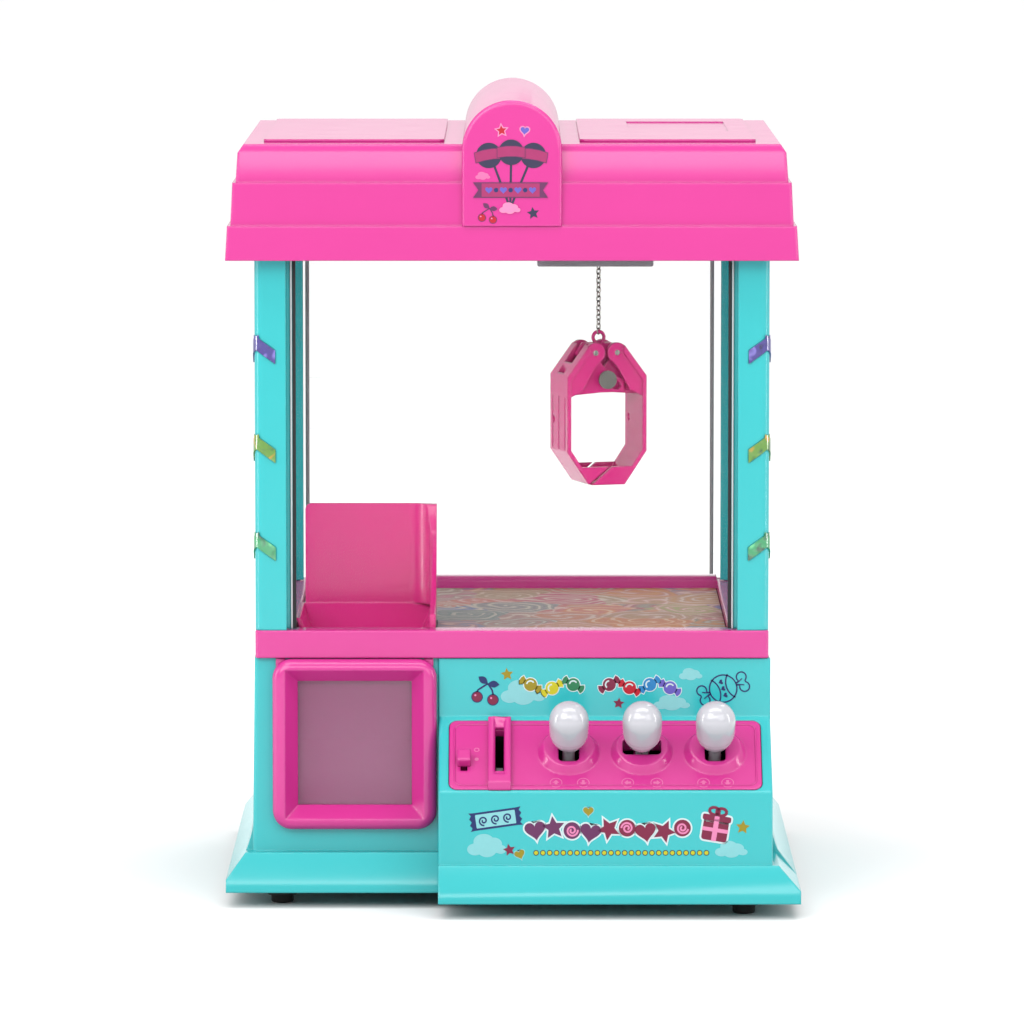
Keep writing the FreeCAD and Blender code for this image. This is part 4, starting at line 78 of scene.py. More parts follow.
# Faces that carry a print, as distances in front of the cabinet's middle.
FASCIA_AHEAD = 107.0
CONSOLE_TOP_AHEAD = 141.6
CONSOLE_FOOT_AHEAD = 143.4
# The lever pivots lie this far under the panel's slope, and this far down it from its top edge.
PIVOT_DEPTH = 9.0
PIVOT_DOWN_SLOPE = 21.7
# The control panel stands this far out of the slope.
PANEL_PROUD = 0.2


def slope_frame(pivot):
    """Axes on the control panel: x right, y up the slope, z out of it, above a lever's pivot."""
    turn = Matrix.Rotation(SLOPE_ANGLE, 4, "X")
    return Matrix.Translation(pivot) @ turn @ Matrix.Translation((0, 0, PIVOT_DEPTH))


def upright(y, lean=0.0):
    """Axes on an upright face towards the player: x right, y up, z out of the face."""
    return Matrix.Translation((0, y, 0)) @ Matrix.Rotation(math.pi / 2 + lean, 4, "X")


CLAW = Matrix.Translation((CHAIN_X, CABINET_Y, 0)) @ Matrix.Rotation(CLAW_TURN, 4, "Z")

# ---------------------------------------------------------------- materials

# Part of a display colour that the surface itself carries; the lights make up the rest.
SURFACE_SHARE = 0.56
# Radius of the rounding that the shading gives to the edges of moulded parts.
MOULDED_EDGE = 1.2
EDGE_SAMPLES = 6


def linear(red, green, blue):
    """An 8-bit display colour under the studio lights, as the linear values of a surface."""
    out = []
    for channel in (red, green, blue):
        value = channel / 255
        value = value / 12.92 if value <= 0.04045 else ((value + 0.055) / 1.055) ** 2.4
        out.append(value * SURFACE_SHARE)
    return (*out, 1.0)


def shade(colour, factor):
    return (*(min(1.0, channel * factor) for channel in colour[:3]), 1.0)


class Paint:
    """A material's node tree with short ways to add and link nodes."""

    def __init__(self, name):
        self.material = bpy.data.materials.new(name)
        self.material.use_nodes = True
        self.nodes = self.material.node_tree.nodes
        self.links = self.material.node_tree.links
        self.shader = self.nodes["Principled BSDF"]
        self.place = self.add("ShaderNodeTexCoord").outputs["Object"]

    def add(self, kind, **settings):
        node = self.nodes.new(kind)
        for key, value in settings.items():
            if hasattr(node, key):
                setattr(node, key, value)
            else:
                node.inputs[key.replace("_", " ")].default_value = value
        return node

    def link(self, source, target):
        self.links.new(source, target)

    def noise(self, scale, detail=2.0, distortion=0.0, place=None):
        node = self.add("ShaderNodeTexNoise", Scale=scale, Detail=detail, Distortion=distortion)
        self.link(place or self.place, node.inputs["Vector"])
        return node.outputs["Fac"]

    def between(self, factor, low, high):
        """Maps a 0..1 value to low..high."""
        node = self.add("ShaderNodeMapRange")
        node.inputs["To Min"].default_value = low
        node.inputs["To Max"].default_value = high
        self.link(factor, node.inputs["Value"])
        return node.outputs["Result"]

    def blend(self, factor, first, second):
        node = self.add("ShaderNodeMix", data_type="RGBA")
        pairs = [item for item in node.inputs if item.type == "RGBA"]
        for socket, value in zip(pairs, (first, second)):
            if isinstance(value, tuple):
                socket.default_value = value
            else:
                self.link(value, socket)
        if isinstance(factor, float):
            node.inputs["Factor"].default_value = factor
        else:
            self.link(factor, node.inputs["Factor"])
        return [item for item in node.outputs if item.type == "RGBA"][0]

    def ramp(self, factor, stops):
        node = self.add("ShaderNodeValToRGB")
        ramp = node.color_ramp
        while len(ramp.elements) < len(stops):
            ramp.elements.new(0.5)
        for element, (place, colour) in zip(ramp.elements, stops):
            element.position = place
            element.color = colour
        self.link(factor, node.inputs["Fac"])
        return node.outputs["Color"]

    def maths(self, operation, first, second=None):
        node = self.add("ShaderNodeMath", operation=operation)
        for socket, value in zip(node.inputs, (first, second)):
            if value is None:
                continue
            if isinstance(value, (int, float)):
                socket.default_value = value
            else:
                self.link(value, socket)
        return node.outputs[0]

    def bump(self, height, strength, distance, edge=0.0):
        """Bends the normals by a height, over edges rounded by a radius in millimetres."""
        node = self.add("ShaderNodeBump", Strength=strength, Distance=distance)
        self.link(height, node.inputs["Height"])
        if edge:
            soft = self.add("ShaderNodeBevel", Radius=edge * MM, samples=EDGE_SAMPLES)
            self.link(soft.outputs["Normal"], node.inputs["Normal"])
        self.link(node.outputs["Normal"], self.shader.inputs["Normal"])

    def colour(self, source):
        self.link(source, self.shader.inputs["Base Color"])

    def roughness(self, source):
        self.link(source, self.shader.inputs["Roughness"])

    def set(self, **sockets):
        for key, value in sockets.items():
            self.shader.inputs[key.replace("_", " ")].default_value = value
        return self.material


def plastic(name, colour, rough=0.18, coat=0.0, peel=0.012):
    """Moulded ABS: faint flow marks in the colour, and a fine orange peel in the gloss."""
    paint = Paint(name)
    flow = paint.noise(14.0, 3.0, 0.6)
    paint.colour(paint.blend(flow, shade(colour, 0.96), shade(colour, 1.03)))
    paint.roughness(paint.between(paint.noise(60.0, 4.0), rough - 0.01, rough + 0.03))
    paint.bump(paint.noise(700.0, 2.0), peel, 0.0002, MOULDED_EDGE)
    return paint.set(Coat_Weight=coat, Coat_Roughness=0.06)


def metal(name, colour, rough=0.22, grain=500.0):
    paint = Paint(name)
    streak = paint.noise(grain, 4.0)
    paint.colour(paint.blend(streak, shade(colour, 0.8), shade(colour, 1.1)))
    paint.roughness(paint.between(paint.noise(grain / 2, 3.0), rough - 0.06, rough + 0.14))
    paint.bump(streak, 0.06, 0.0001)
    return paint.set(Metallic=1.0)


def rubber(name, colour):
    paint = Paint(name)
    speck = paint.noise(1800.0, 3.0)
    paint.colour(paint.blend(speck, shade(colour, 0.7), shade(colour, 1.5)))
    paint.roughness(paint.between(speck, 0.5, 0.8))
    paint.bump(speck, 0.25, 0.0002)
    return paint.set(Specular_IOR_Level=0.35)


def clear(name, colour, alpha, rough=0.04, shine=0.3):
    """Clear sheet: a thin veil of colour and reflection over what stands behind it."""
    paint = Paint(name)
    paint.colour(paint.blend(paint.noise(9.0, 2.0), shade(colour, 0.96), colour))
    paint.roughness(paint.between(paint.noise(30.0, 3.0), rough, rough + 0.04))
    paint.material.surface_render_method = "BLENDED"
    edge_on = paint.add("ShaderNodeLayerWeight", Blend=0.3).outputs["Facing"]
    veil = paint.between(paint.maths("POWER", edge_on, 1.1), alpha, min(1.0, alpha + 0.5))
    paint.link(veil, paint.shader.inputs["Alpha"])
    return paint.set(Specular_IOR_Level=shine)


def jewel(name, colour, painted_shade, painted_glint):
    """A clear moulded lens: painted glints and painted shade as soft light and dark lobes over its
    body colour, and a bright gloss.
    """
    paint = Paint(name)
    glint_and_shade_lobe = paint.noise(150.0, 1.0, 0.8)
    # The dark and bright stops are painted shade and painted glints, standing in for the light
    # inside a clear lens, spread in random lobes.
    paint.colour(paint.ramp(glint_and_shade_lobe, [(0.3, painted_shade), (0.46, colour), (0.58, colour), (0.68, painted_glint)]))
    paint.roughness(paint.between(paint.noise(90.0, 2.0), 0.05, 0.16))
    paint.bump(paint.noise(260.0, 1.0), 0.35, 0.0006)
    return paint.set(Coat_Weight=1.0, Coat_Roughness=0.03, Specular_IOR_Level=0.8)


def ink(name, colour):
    """Printed ink under a gloss film."""
    paint = Paint(name)
    paint.colour(paint.blend(paint.noise(300.0, 3.0), shade(colour, 0.94), shade(colour, 1.06)))
    paint.roughness(paint.between(paint.noise(90.0, 2.0), 0.34, 0.46))
    return paint.set(Specular_IOR_Level=0.3)


def candy_floor(name):
    """The printed floor sheet: overlapping pastel swirls with sugary lines between them."""
    paint = Paint(name)
    cells = paint.add("ShaderNodeTexVoronoi", Scale=30.0, Randomness=0.9)
    warp = paint.add("ShaderNodeTexNoise", Scale=26.0, Detail=2.0)
    paint.link(paint.place, warp.inputs["Vector"])
    pulled = paint.add("ShaderNodeVectorMath", operation="SCALE")
    paint.link(warp.outputs["Color"], pulled.inputs[0])
    pulled.inputs["Scale"].default_value = 0.03
    moved = paint.add("ShaderNodeVectorMath", operation="ADD")
    paint.link(paint.place, moved.inputs[0])
    paint.link(pulled.outputs["Vector"], moved.inputs[1])
    paint.link(moved.outputs["Vector"], cells.inputs["Vector"])
    offset = paint.add("ShaderNodeVectorMath", operation="SUBTRACT")
    paint.link(moved.outputs["Vector"], offset.inputs[0])
    paint.link(cells.outputs["Position"], offset.inputs[1])
    parts = paint.add("ShaderNodeSeparateXYZ")
    paint.link(offset.outputs["Vector"], parts.inputs["Vector"])
    angle = paint.maths("ARCTAN2", parts.outputs["Y"], parts.outputs["X"])
    length = paint.add("ShaderNodeVectorMath", operation="LENGTH")
    paint.link(offset.outputs["Vector"], length.inputs[0])
    wind = paint.maths("MULTIPLY", length.outputs["Value"], 1050.0)
    arms = paint.maths("MULTIPLY", angle, 2.0)
    swirl = paint.maths("SINE", paint.maths("ADD", wind, arms))
    level = paint.between(swirl, 0.0, 1.0)
    level.node.inputs["From Min"].default_value = -1.0
    hue = paint.add("ShaderNodeSeparateColor")
    paint.link(cells.outputs["Color"], hue.inputs["Color"])
    first = paint.ramp(hue.outputs["Red"], [
        (0.0, linear(206, 84, 122)), (0.22, linear(220, 158, 84)), (0.42, linear(84, 156, 166)),
        (0.62, linear(224, 128, 112)), (0.8, linear(104, 138, 196)), (1.0, linear(176, 184, 112)),
    ])
    second = paint.ramp(hue.outputs["Green"], [
        (0.0, linear(230, 176, 168)), (0.25, linear(190, 64, 98)), (0.5, linear(212, 202, 180)),
        (0.72, linear(92, 146, 142)), (1.0, linear(230, 150, 72)),
    ])
    base = paint.blend(level, first, second)
    line = paint.maths("GREATER_THAN", level, 0.86)
    creamy = paint.blend(paint.maths("MULTIPLY", line, 0.55), base, linear(250, 236, 214))
    grain = paint.noise(420.0, 3.0)
    paint.colour(paint.blend(paint.between(grain, 0.05, 0.3), creamy, linear(140, 96, 92)))
    paint.roughness(paint.between(grain, 0.4, 0.6))
    return paint.set(Specular_IOR_Level=0.15)


PINK = plastic("pink_abs", linear(216, 52, 148))
DEEP_PINK = plastic("deep_pink_abs", linear(244, 44, 146))
TEAL = plastic("turquoise_abs", linear(48, 193, 197))
WHITE = plastic("white_gloss", linear(200, 200, 207), 0.16, 0.5, 0.02)
BIN_WHITE = plastic("white_bin", linear(246, 232, 240), 0.3, 0.1)
GREY = plastic("grey_abs", linear(150, 146, 154), 0.4, 0.05, 0.1)
BLACK = plastic("black_abs", linear(34, 34, 38), 0.45, 0.0, 0.15)
RUBBER = rubber("foot_rubber", linear(32, 32, 32))
SEAL = rubber("seal_rubber", linear(22, 26, 28))
BEAD = plastic("bead_pvc", linear(226, 232, 234), 0.35, 0.1)
STRIP = plastic("strip_pvc", linear(176, 178, 180), 0.4)
STEEL = metal("plated_steel", linear(196, 192, 186))
DULL_STEEL = metal("turned_steel", linear(150, 146, 140), 0.34, 900.0)
CLEAR = clear("clear_pane", linear(222, 240, 242), 0.006)
SMOKED = clear("smoked_flap", linear(196, 104, 156), 0.32, 0.08)
CARD = candy_floor("candy_print")
BOARD = plastic("circuit_green", linear(28, 96, 52), 0.35, 0.3)
# Each lens: body colour, then a painted shade colour and a painted glint colour.
VIOLET = jewel("violet_jewel", linear(60, 46, 140), linear(28, 18, 84), linear(128, 116, 206))
LIME = jewel("lime_jewel", linear(96, 150, 36), linear(22, 96, 48), linear(214, 150, 40))
GREEN = jewel("green_jewel", linear(22, 156, 92), linear(2, 84, 52), linear(84, 206, 134))

INKS = {
    "navy": ink("ink_navy", linear(26, 44, 104)),
    "slate": ink("ink_slate", linear(48, 46, 76)),
    "red": ink("ink_red", linear(190, 18, 44)),
    "maroon": ink("ink_maroon", linear(128, 28, 66)),
    "plum": ink("ink_plum", linear(104, 44, 92)),
    "gold": ink("ink_gold", linear(158, 142, 26)),
    "yellow": ink("ink_yellow", linear(206, 200, 34)),
    "green": ink("ink_green", linear(44, 128, 84)),
    "blue": ink("ink_blue", linear(40, 132, 196)),
    "violet": ink("ink_violet", linear(104, 92, 190)),
    "white": ink("ink_white", linear(214, 232, 234)),
    "sky": ink("ink_sky", linear(138, 210, 214)),
    "blush": ink("ink_blush", linear(236, 138, 184)),
    "rose": ink("ink_rose", linear(166, 44, 104)),
    "pale": ink("ink_pale", linear(226, 112, 168)),
}

# ---------------------------------------------------------------- mesh helpers


def finish_piece(name, mesh_data, materials, body, matrix=None, replaces=(), sharp=35.0):
    """Turns a bmesh in millimetres into a piece in metres that rides on a body."""
    if matrix is not None:
        mesh_data.transform(matrix)
    mesh_data.transform(Matrix.Scale(MM, 4))
    bmesh.ops.recalc_face_normals(mesh_data, faces=mesh_data.faces)
    mesh = bpy.data.meshes.new(name)
    mesh_data.to_mesh(mesh)
    mesh_data.free()
    mesh.shade_smooth()
    mesh.set_sharp_from_angle(angle=math.radians(sharp))
    for material in materials:
        mesh.materials.append(material)
    piece = bpy.data.objects.new(name, mesh)
    bpy.context.scene.collection.objects.link(piece)
    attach(piece, body)
    if replaces:
        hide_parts(*replaces)
    return piece


def lathe(mesh_data, profile, matrix=None, steps=48, slot=0):
    """Spins (radius, height) points about the z axis into a closed skin."""
    rings = []
    for radius, height in profile:
        if radius < 1e-6:
            rings.append([mesh_data.verts.new((0, 0, height))])
            continue
        rings.append([
            mesh_data.verts.new((radius * math.cos(2 * math.pi * step / steps),
                                 radius * math.sin(2 * math.pi * step / steps), height))
            for step in range(steps)
        ])
    for low, high in zip(rings, rings[1:]):
        for step in range(steps):
            after = (step + 1) % steps
            corners = [low[step % len(low)], low[after % len(low)],
                       high[after % len(high)], high[step % len(high)]]
            unique = list(dict.fromkeys(corners))
            if len(unique) > 2:
                mesh_data.faces.new(unique).material_index = slot
    if matrix is not None:
        bmesh.ops.transform(mesh_data, matrix=matrix, verts=[v for ring in rings for v in ring])


def slab(mesh_data, outline, low, high, slot=0, matrix=None):
    """A flat piece from its outline: top, bottom and edge."""
    top = [mesh_data.verts.new((x, y, high)) for x, y in outline]
    bottom = [mesh_data.verts.new((x, y, low)) for x, y in outline]
    mesh_data.faces.new(top).material_index = slot
    mesh_data.faces.new(bottom[::-1]).material_index = slot
    count = len(outline)
    for index in range(count):
        after = (index + 1) % count
        quad = (bottom[index], bottom[after], top[after], top[index])
        mesh_data.faces.new(quad).material_index = slot
    if matrix is not None:
        bmesh.ops.transform(mesh_data, matrix=matrix, verts=top + bottom)


def tube(mesh_data, path, radius, closed=False, sides=10, slot=0):
    """A round wire along 3-D points."""
    points = [Vector(point) for point in path]
    count = len(points)
    rings = []
    side_hint = Vector((0.31, 0.17, 0.93))
    for index, point in enumerate(points):
        before = points[index - 1] if index or closed else point
        after = points[(index + 1) % count] if index < count - 1 or closed else point
        along = (after - before).normalized()
        across = along.cross(side_hint).normalized()
        up = across.cross(along)
        rings.append([
            mesh_data.verts.new(point + across * (radius * math.cos(2 * math.pi * s / sides))
                                + up * (radius * math.sin(2 * math.pi * s / sides)))
            for s in range(sides)
        ])
    last = count if closed else count - 1
    for index in range(last):
        low = rings[index]
        high = rings[(index + 1) % count]
        for s in range(sides):
            quad = (low[s], low[(s + 1) % sides], high[(s + 1) % sides], high[s])
            mesh_data.faces.new(quad).material_index = slot
    if not closed:
        mesh_data.faces.new(rings[0][::-1]).material_index = slot
        mesh_data.faces.new(rings[-1]).material_index = slot


# ---------------------------------------------------------------- outlines for the prints


def disc(x, y, radius, squash=1.0, steps=40):
    return [(x + radius * math.cos(2 * math.pi * s / steps),
             y + radius * squash * math.sin(2 * math.pi * s / steps)) for s in range(steps)]


def star(x, y, radius, turn=0.0, inner=0.48):
    points = []
    for tip in range(10):
        reach = radius if tip % 2 == 0 else radius * inner
        angle = math.pi / 2 + turn + math.pi * tip / 5
        points.append((x + reach * math.cos(angle), y + reach * math.sin(angle)))
    return points


def heart(x, y, size, turn=0.0, steps=40):
    points = []
    for s in range(steps):
        t = 2 * math.pi * s / steps
        across = size * 0.5 * math.sin(t) ** 3
        up = size * (0.4063 * math.cos(t) - 0.1563 * math.cos(2 * t) - 0.0625 * math.cos(3 * t)
                     - 0.0313 * math.cos(4 * t))
        points.append((x + across * math.cos(turn) - up * math.sin(turn),
                       y + across * math.sin(turn) + up * math.cos(turn)))
    return points


def cloud(x, y, width, height, steps=90):
    """The outside of five overlapping puffs, seen from the middle."""
    puffs = [(-0.3, -0.12, 0.2), (-0.08, 0.14, 0.26), (0.16, 0.06, 0.22), (0.34, -0.12, 0.15),
             (0.0, -0.14, 0.24)]
    points = []
    for s in range(steps):
        angle = 2 * math.pi * s / steps
        ray = Vector((math.cos(angle), math.sin(angle)))
        reach = 0.05
        for px, py, radius in puffs:
            along = px * ray.x + py * ray.y
            off = px * px + py * py - along * along
            if off < radius * radius:
                reach = max(reach, along + math.sqrt(radius * radius - off))
        points.append((x + ray.x * reach * width, y + ray.y * reach * height * 1.25))
    return points


def stroke(path, width, taper=False):
    """A line of some width along 2-D points."""
    left, right = [], []
    count = len(path)
    for index, (x, y) in enumerate(path):
        x0, y0 = path[max(index - 1, 0)]
        x1, y1 = path[min(index + 1, count - 1)]
        size = math.hypot(x1 - x0, y1 - y0)
        half = width / 2 * (1 - 0.7 * index / (count - 1) if taper else 1)
        dx = -(y1 - y0) / size * half
        dy = (x1 - x0) / size * half
        left.append((x + dx, y + dy))
        right.append((x - dx, y - dy))
    return left + right[::-1]


def arc(x, y, radius, start, end, steps=16, squash=1.0):
    """Points along part of an ellipse, angles in degrees."""
    return [(x + radius * math.cos(math.radians(start + (end - start) * s / steps)),
             y + radius * squash * math.sin(math.radians(start + (end - start) * s / steps)))
            for s in range(steps + 1)]


def spiral(x, y, radius, turns=1.6, steps=30, start=0.0):
    points = []
    for s in range(steps + 1):
        share = s / steps
        angle = start + 2 * math.pi * turns * share
        reach = radius * (0.18 + 0.82 * share)
        points.append((x + reach * math.cos(angle), y + reach * math.sin(angle)))
    return points


def bar(x, y, width, height, corner=0.0, turn=0.0):
    """A rectangle with rounded corners, turned about its middle."""
    points = []
    for cx, cy, start in ((1, 1, 0), (-1, 1, 90), (-1, -1, 180), (1, -1, 270)):
        px = cx * (width / 2 - corner)
        py = cy * (height / 2 - corner)
        if corner:
            points += arc(px, py, corner, start, start + 90, 6)
        else:
            points.append((px, py))
    return turned(points, turn, x, y)


def turned(points, turn, x=0.0, y=0.0):
    return [(x + px * math.cos(turn) - py * math.sin(turn),
             y + px * math.sin(turn) + py * math.cos(turn)) for px, py in points]


def grown(points, amount):
    """An outline moved outwards by an amount, for a pale border."""
    count = len(points)
    area = sum(points[i - 1][0] * points[i][1] - points[i][0] * points[i - 1][1]
               for i in range(count))
    way = 1 if area > 0 else -1
    out = []
    for index, (x, y) in enumerate(points):
        x0, y0 = points[index - 1]
        x1, y1 = points[(index + 1) % count]
        first = Vector((x - x0, y - y0)).normalized()
        second = Vector((x1 - x, y1 - y)).normalized()
        normal = Vector((first.y + second.y, -first.x - second.x)) * way
        if normal.length < 1e-6:
            out.append((x, y))
            continue
        normal.normalize()
        facing = max(0.45, abs(normal.x * first.y - normal.y * first.x))
        out.append((x + normal.x * amount / facing, y + normal.y * amount / facing))
    return out


class Print:
    """A set of thin inked shapes on one face, built up in layers."""

    SUNK = 0.02
    THICK = 0.05
    STEP = 0.035

    def __init__(self, name, matrix, body="machine"):
        self.name = name
        self.matrix = matrix
        self.body = body
        self.mesh = bmesh.new()
        self.used = []

    def add(self, outline, colour, layer=0):
        if colour not in self.used:
            self.used.append(colour)
        top = self.THICK + layer * self.STEP
        slab(self.mesh, outline, -self.SUNK, top, self.used.index(colour))

    def bordered(self, outline, colour, border="white", amount=0.5, layer=1):
        self.add(grown(outline, amount), border, layer - 1)
        self.add(outline, colour, layer)

    def done(self):
        return finish_piece(self.name, self.mesh, [INKS[colour] for colour in self.used],
                            self.body, self.matrix)


def cherries(sheet, x, y, size, fruit="maroon", leaf="navy"):
    """Two ringed cherries on stems that meet under a pair of leaves."""
    top = (x + size * 0.1, y + size * 0.22)
    for side, drop in ((-1, 0.0), (1, 0.1)):
        cx = x + side * size * 0.27
        cy = y - size * (0.24 + drop)
        sheet.add(disc(cx, cy, size * 0.2), leaf, 1)
        sheet.add(disc(cx, cy, size * 0.165), fruit, 2)
        sheet.add(disc(cx - size * 0.06, cy + size * 0.06, size * 0.035, 1.0, 12), "blush", 3)
        stem = [(cx + side * size * 0.02, cy + size * 0.14), (cx - side * size * 0.03, y), top]
        sheet.add(stroke(stem, size * 0.06), leaf, 1)
    reach, bulge = size * 0.4, size * 0.12
    blade = [(reach * k / 8, bulge * math.sin(math.pi * k / 8)) for k in range(9)]
    blade += [(along, -across) for along, across in blade[-2:0:-1]]
    for turn in (2.5, -0.1):
        sheet.add(turned(blade, turn, *top), leaf, 2)


def sweet(sheet, x, y, size, colour, turn=0.0):
    """A wrapped sweet: a ball between two fans of paper, with a highlight."""
    for side in (-1, 1):
        fan = [(0.3, 0.08), (0.7, 0.32), (0.79, 0.17), (0.82, 0.0), (0.79, -0.17), (0.7, -0.32),
               (0.3, -0.08)]
        fan = [(side * size * px, size * py) for px, py in fan]
        sheet.bordered(turned(fan, turn, x, y), colour, layer=1, amount=0.35)
    sheet.bordered(disc(x, y, size * 0.45), colour, layer=2, amount=0.4)
    sheet.add(stroke(turned(arc(0, 0, size * 0.26, 60, 200, 10), turn, x, y), size * 0.1),
              "white", 3)


def roof_print():
    """The arch's face: sweets on sticks behind a ribbon, with stars, clouds and cherries."""
    sheet = Print("arch_print", upright(ARCH_FRONT))
    sheet.bordered(star(-4.6, 345.2, 2.3, 0.1), "red", "blush", 0.5)
    sheet.bordered(heart(5.6, 345.2, 3.8, -0.1), "violet", "blush", 0.5)
    foot = (-0.8, 311.0)
    for x, z, tilt in ((-10.2, 334.2, 0.16), (9.4, 334.2, -0.16), (-0.4, 335.6, 0.0)):
        layer = 2 if tilt else 6
        sheet.add(stroke([(x * 0.86, z - 2.0), foot], 1.0), "slate", 1)
        sheet.add(disc(x, z, 5.6), "slate", layer)
        band = [(-6.0, -2.2), (-2.0, -1.7), (2.0, -1.7), (6.0, -2.2), (6.0, 2.0), (2.0, 2.6),
                (-2.0, 2.6), (-6.0, 2.0)]
        sheet.add(turned(grown(band, 0.3), tilt, x, z), "plum", layer + 1)
        sheet.add(turned(band, tilt, x, z), "rose", layer + 2)
    tail = [(-17.2, 322.4), (15.9, 322.4), (13.6, 319.0), (15.9, 315.6), (-17.2, 315.6),
            (-14.8, 319.0)]
    sheet.add(tail, "plum", 9)
    sheet.add(bar(-0.6, 319.0, 25.5, 5.9), "rose", 10)
    for index in range(7):
        x = -10.2 + index * 3.2
        shape = heart(x, 319.0, 3.2) if index % 2 == 0 else disc(x, 319.0, 1.0)
        sheet.add(shape, "violet" if index % 2 == 0 else "navy", 11)
    sheet.add(cloud(-12.8, 325.2, 6.6, 3.6), "pale", 0)
    sheet.add(cloud(-0.9, 311.0, 9.4, 5.2), "blush", 10)
    cherries(sheet, -10.8, 309.0, 9.0, "red", "plum")
    sheet.add(star(9.3, 308.8, 2.8, 0.15), "slate", 1)
    sheet.done()


def fascia_print():
    """Above the levers: cherries, stars, clouds, two runs of sweets and a big sweet in line."""
    sheet = Print("fascia_print", upright(CABINET_Y - FASCIA_AHEAD))
    sheet.add(cloud(5.0, 95.0, 20.0, 11.5), "sky", 0)
    sheet.add(cloud(71.0, 90.4, 16.5, 7.0), "sky", 0)
    sheet.add(cloud(79.4, 103.2, 10.5, 5.6), "sky", 0)
    cherries(sheet, -12.0, 96.2, 13.0)
    sheet.add(star(-2.2, 103.2, 2.9, 0.1), "gold", 1)
    sheet.add(star(47.4, 90.2, 2.6, -0.1), "maroon", 1)
    garland = [(8.2, 98.6, "gold"), (17.8, 97.0, "yellow"), (27.2, 98.6, "green"),
               (43.2, 98.6, "maroon"), (52.2, 97.2, "red"), (61.2, 98.6, "blue"),
               (70.2, 97.2, "violet")]
    for index, (x, z, colour) in enumerate(garland):
        sweet(sheet, x, z, 6.4, colour, 0.55 if index % 2 else -0.5)
    # The big wrapped sweet is only an outline, with a band of small hearts.
    middle = (93.8, 96.8)
    tilt = 0.34
    pen = 0.6
    body = turned(arc(0, 0, 6.1, 0, 360, 48), tilt, *middle)
    sheet.add(stroke(body, pen), "navy", 2)
    for way in (-1, 1):
        rib = turned(arc(way * 9.2, 0, 7.6, 90 + 90 * way - 46, 90 + 90 * way + 46, 14), tilt,
                     *middle)
        sheet.add(stroke(rib, pen), "navy", 2)
        fan = [(6.1, 0.3)] + arc(9.3, 2.3, 2.2, 215, -60, 14) + arc(9.3, -2.3, 2.2, 60, -215, 14)
        fan = [(way * x, z) for x, z in fan + [(6.1, -0.3)]]
        sheet.add(stroke(turned(fan, tilt, *middle), pen), "navy", 2)
        for spread in (-1, 1):
            crease = [(way * 6.6, spread * 0.3), (way * 9.4, spread * 1.5)]
            sheet.add(stroke(turned(crease, tilt, *middle), pen * 0.8), "navy", 3)
    for step in (-1, 0, 1):
        x, z = turned([(0, step * 3.1)], tilt, *middle)[0]
        sheet.add(heart(x, z, 2.2, tilt - math.pi / 2), "navy", 2)
    sheet.done()


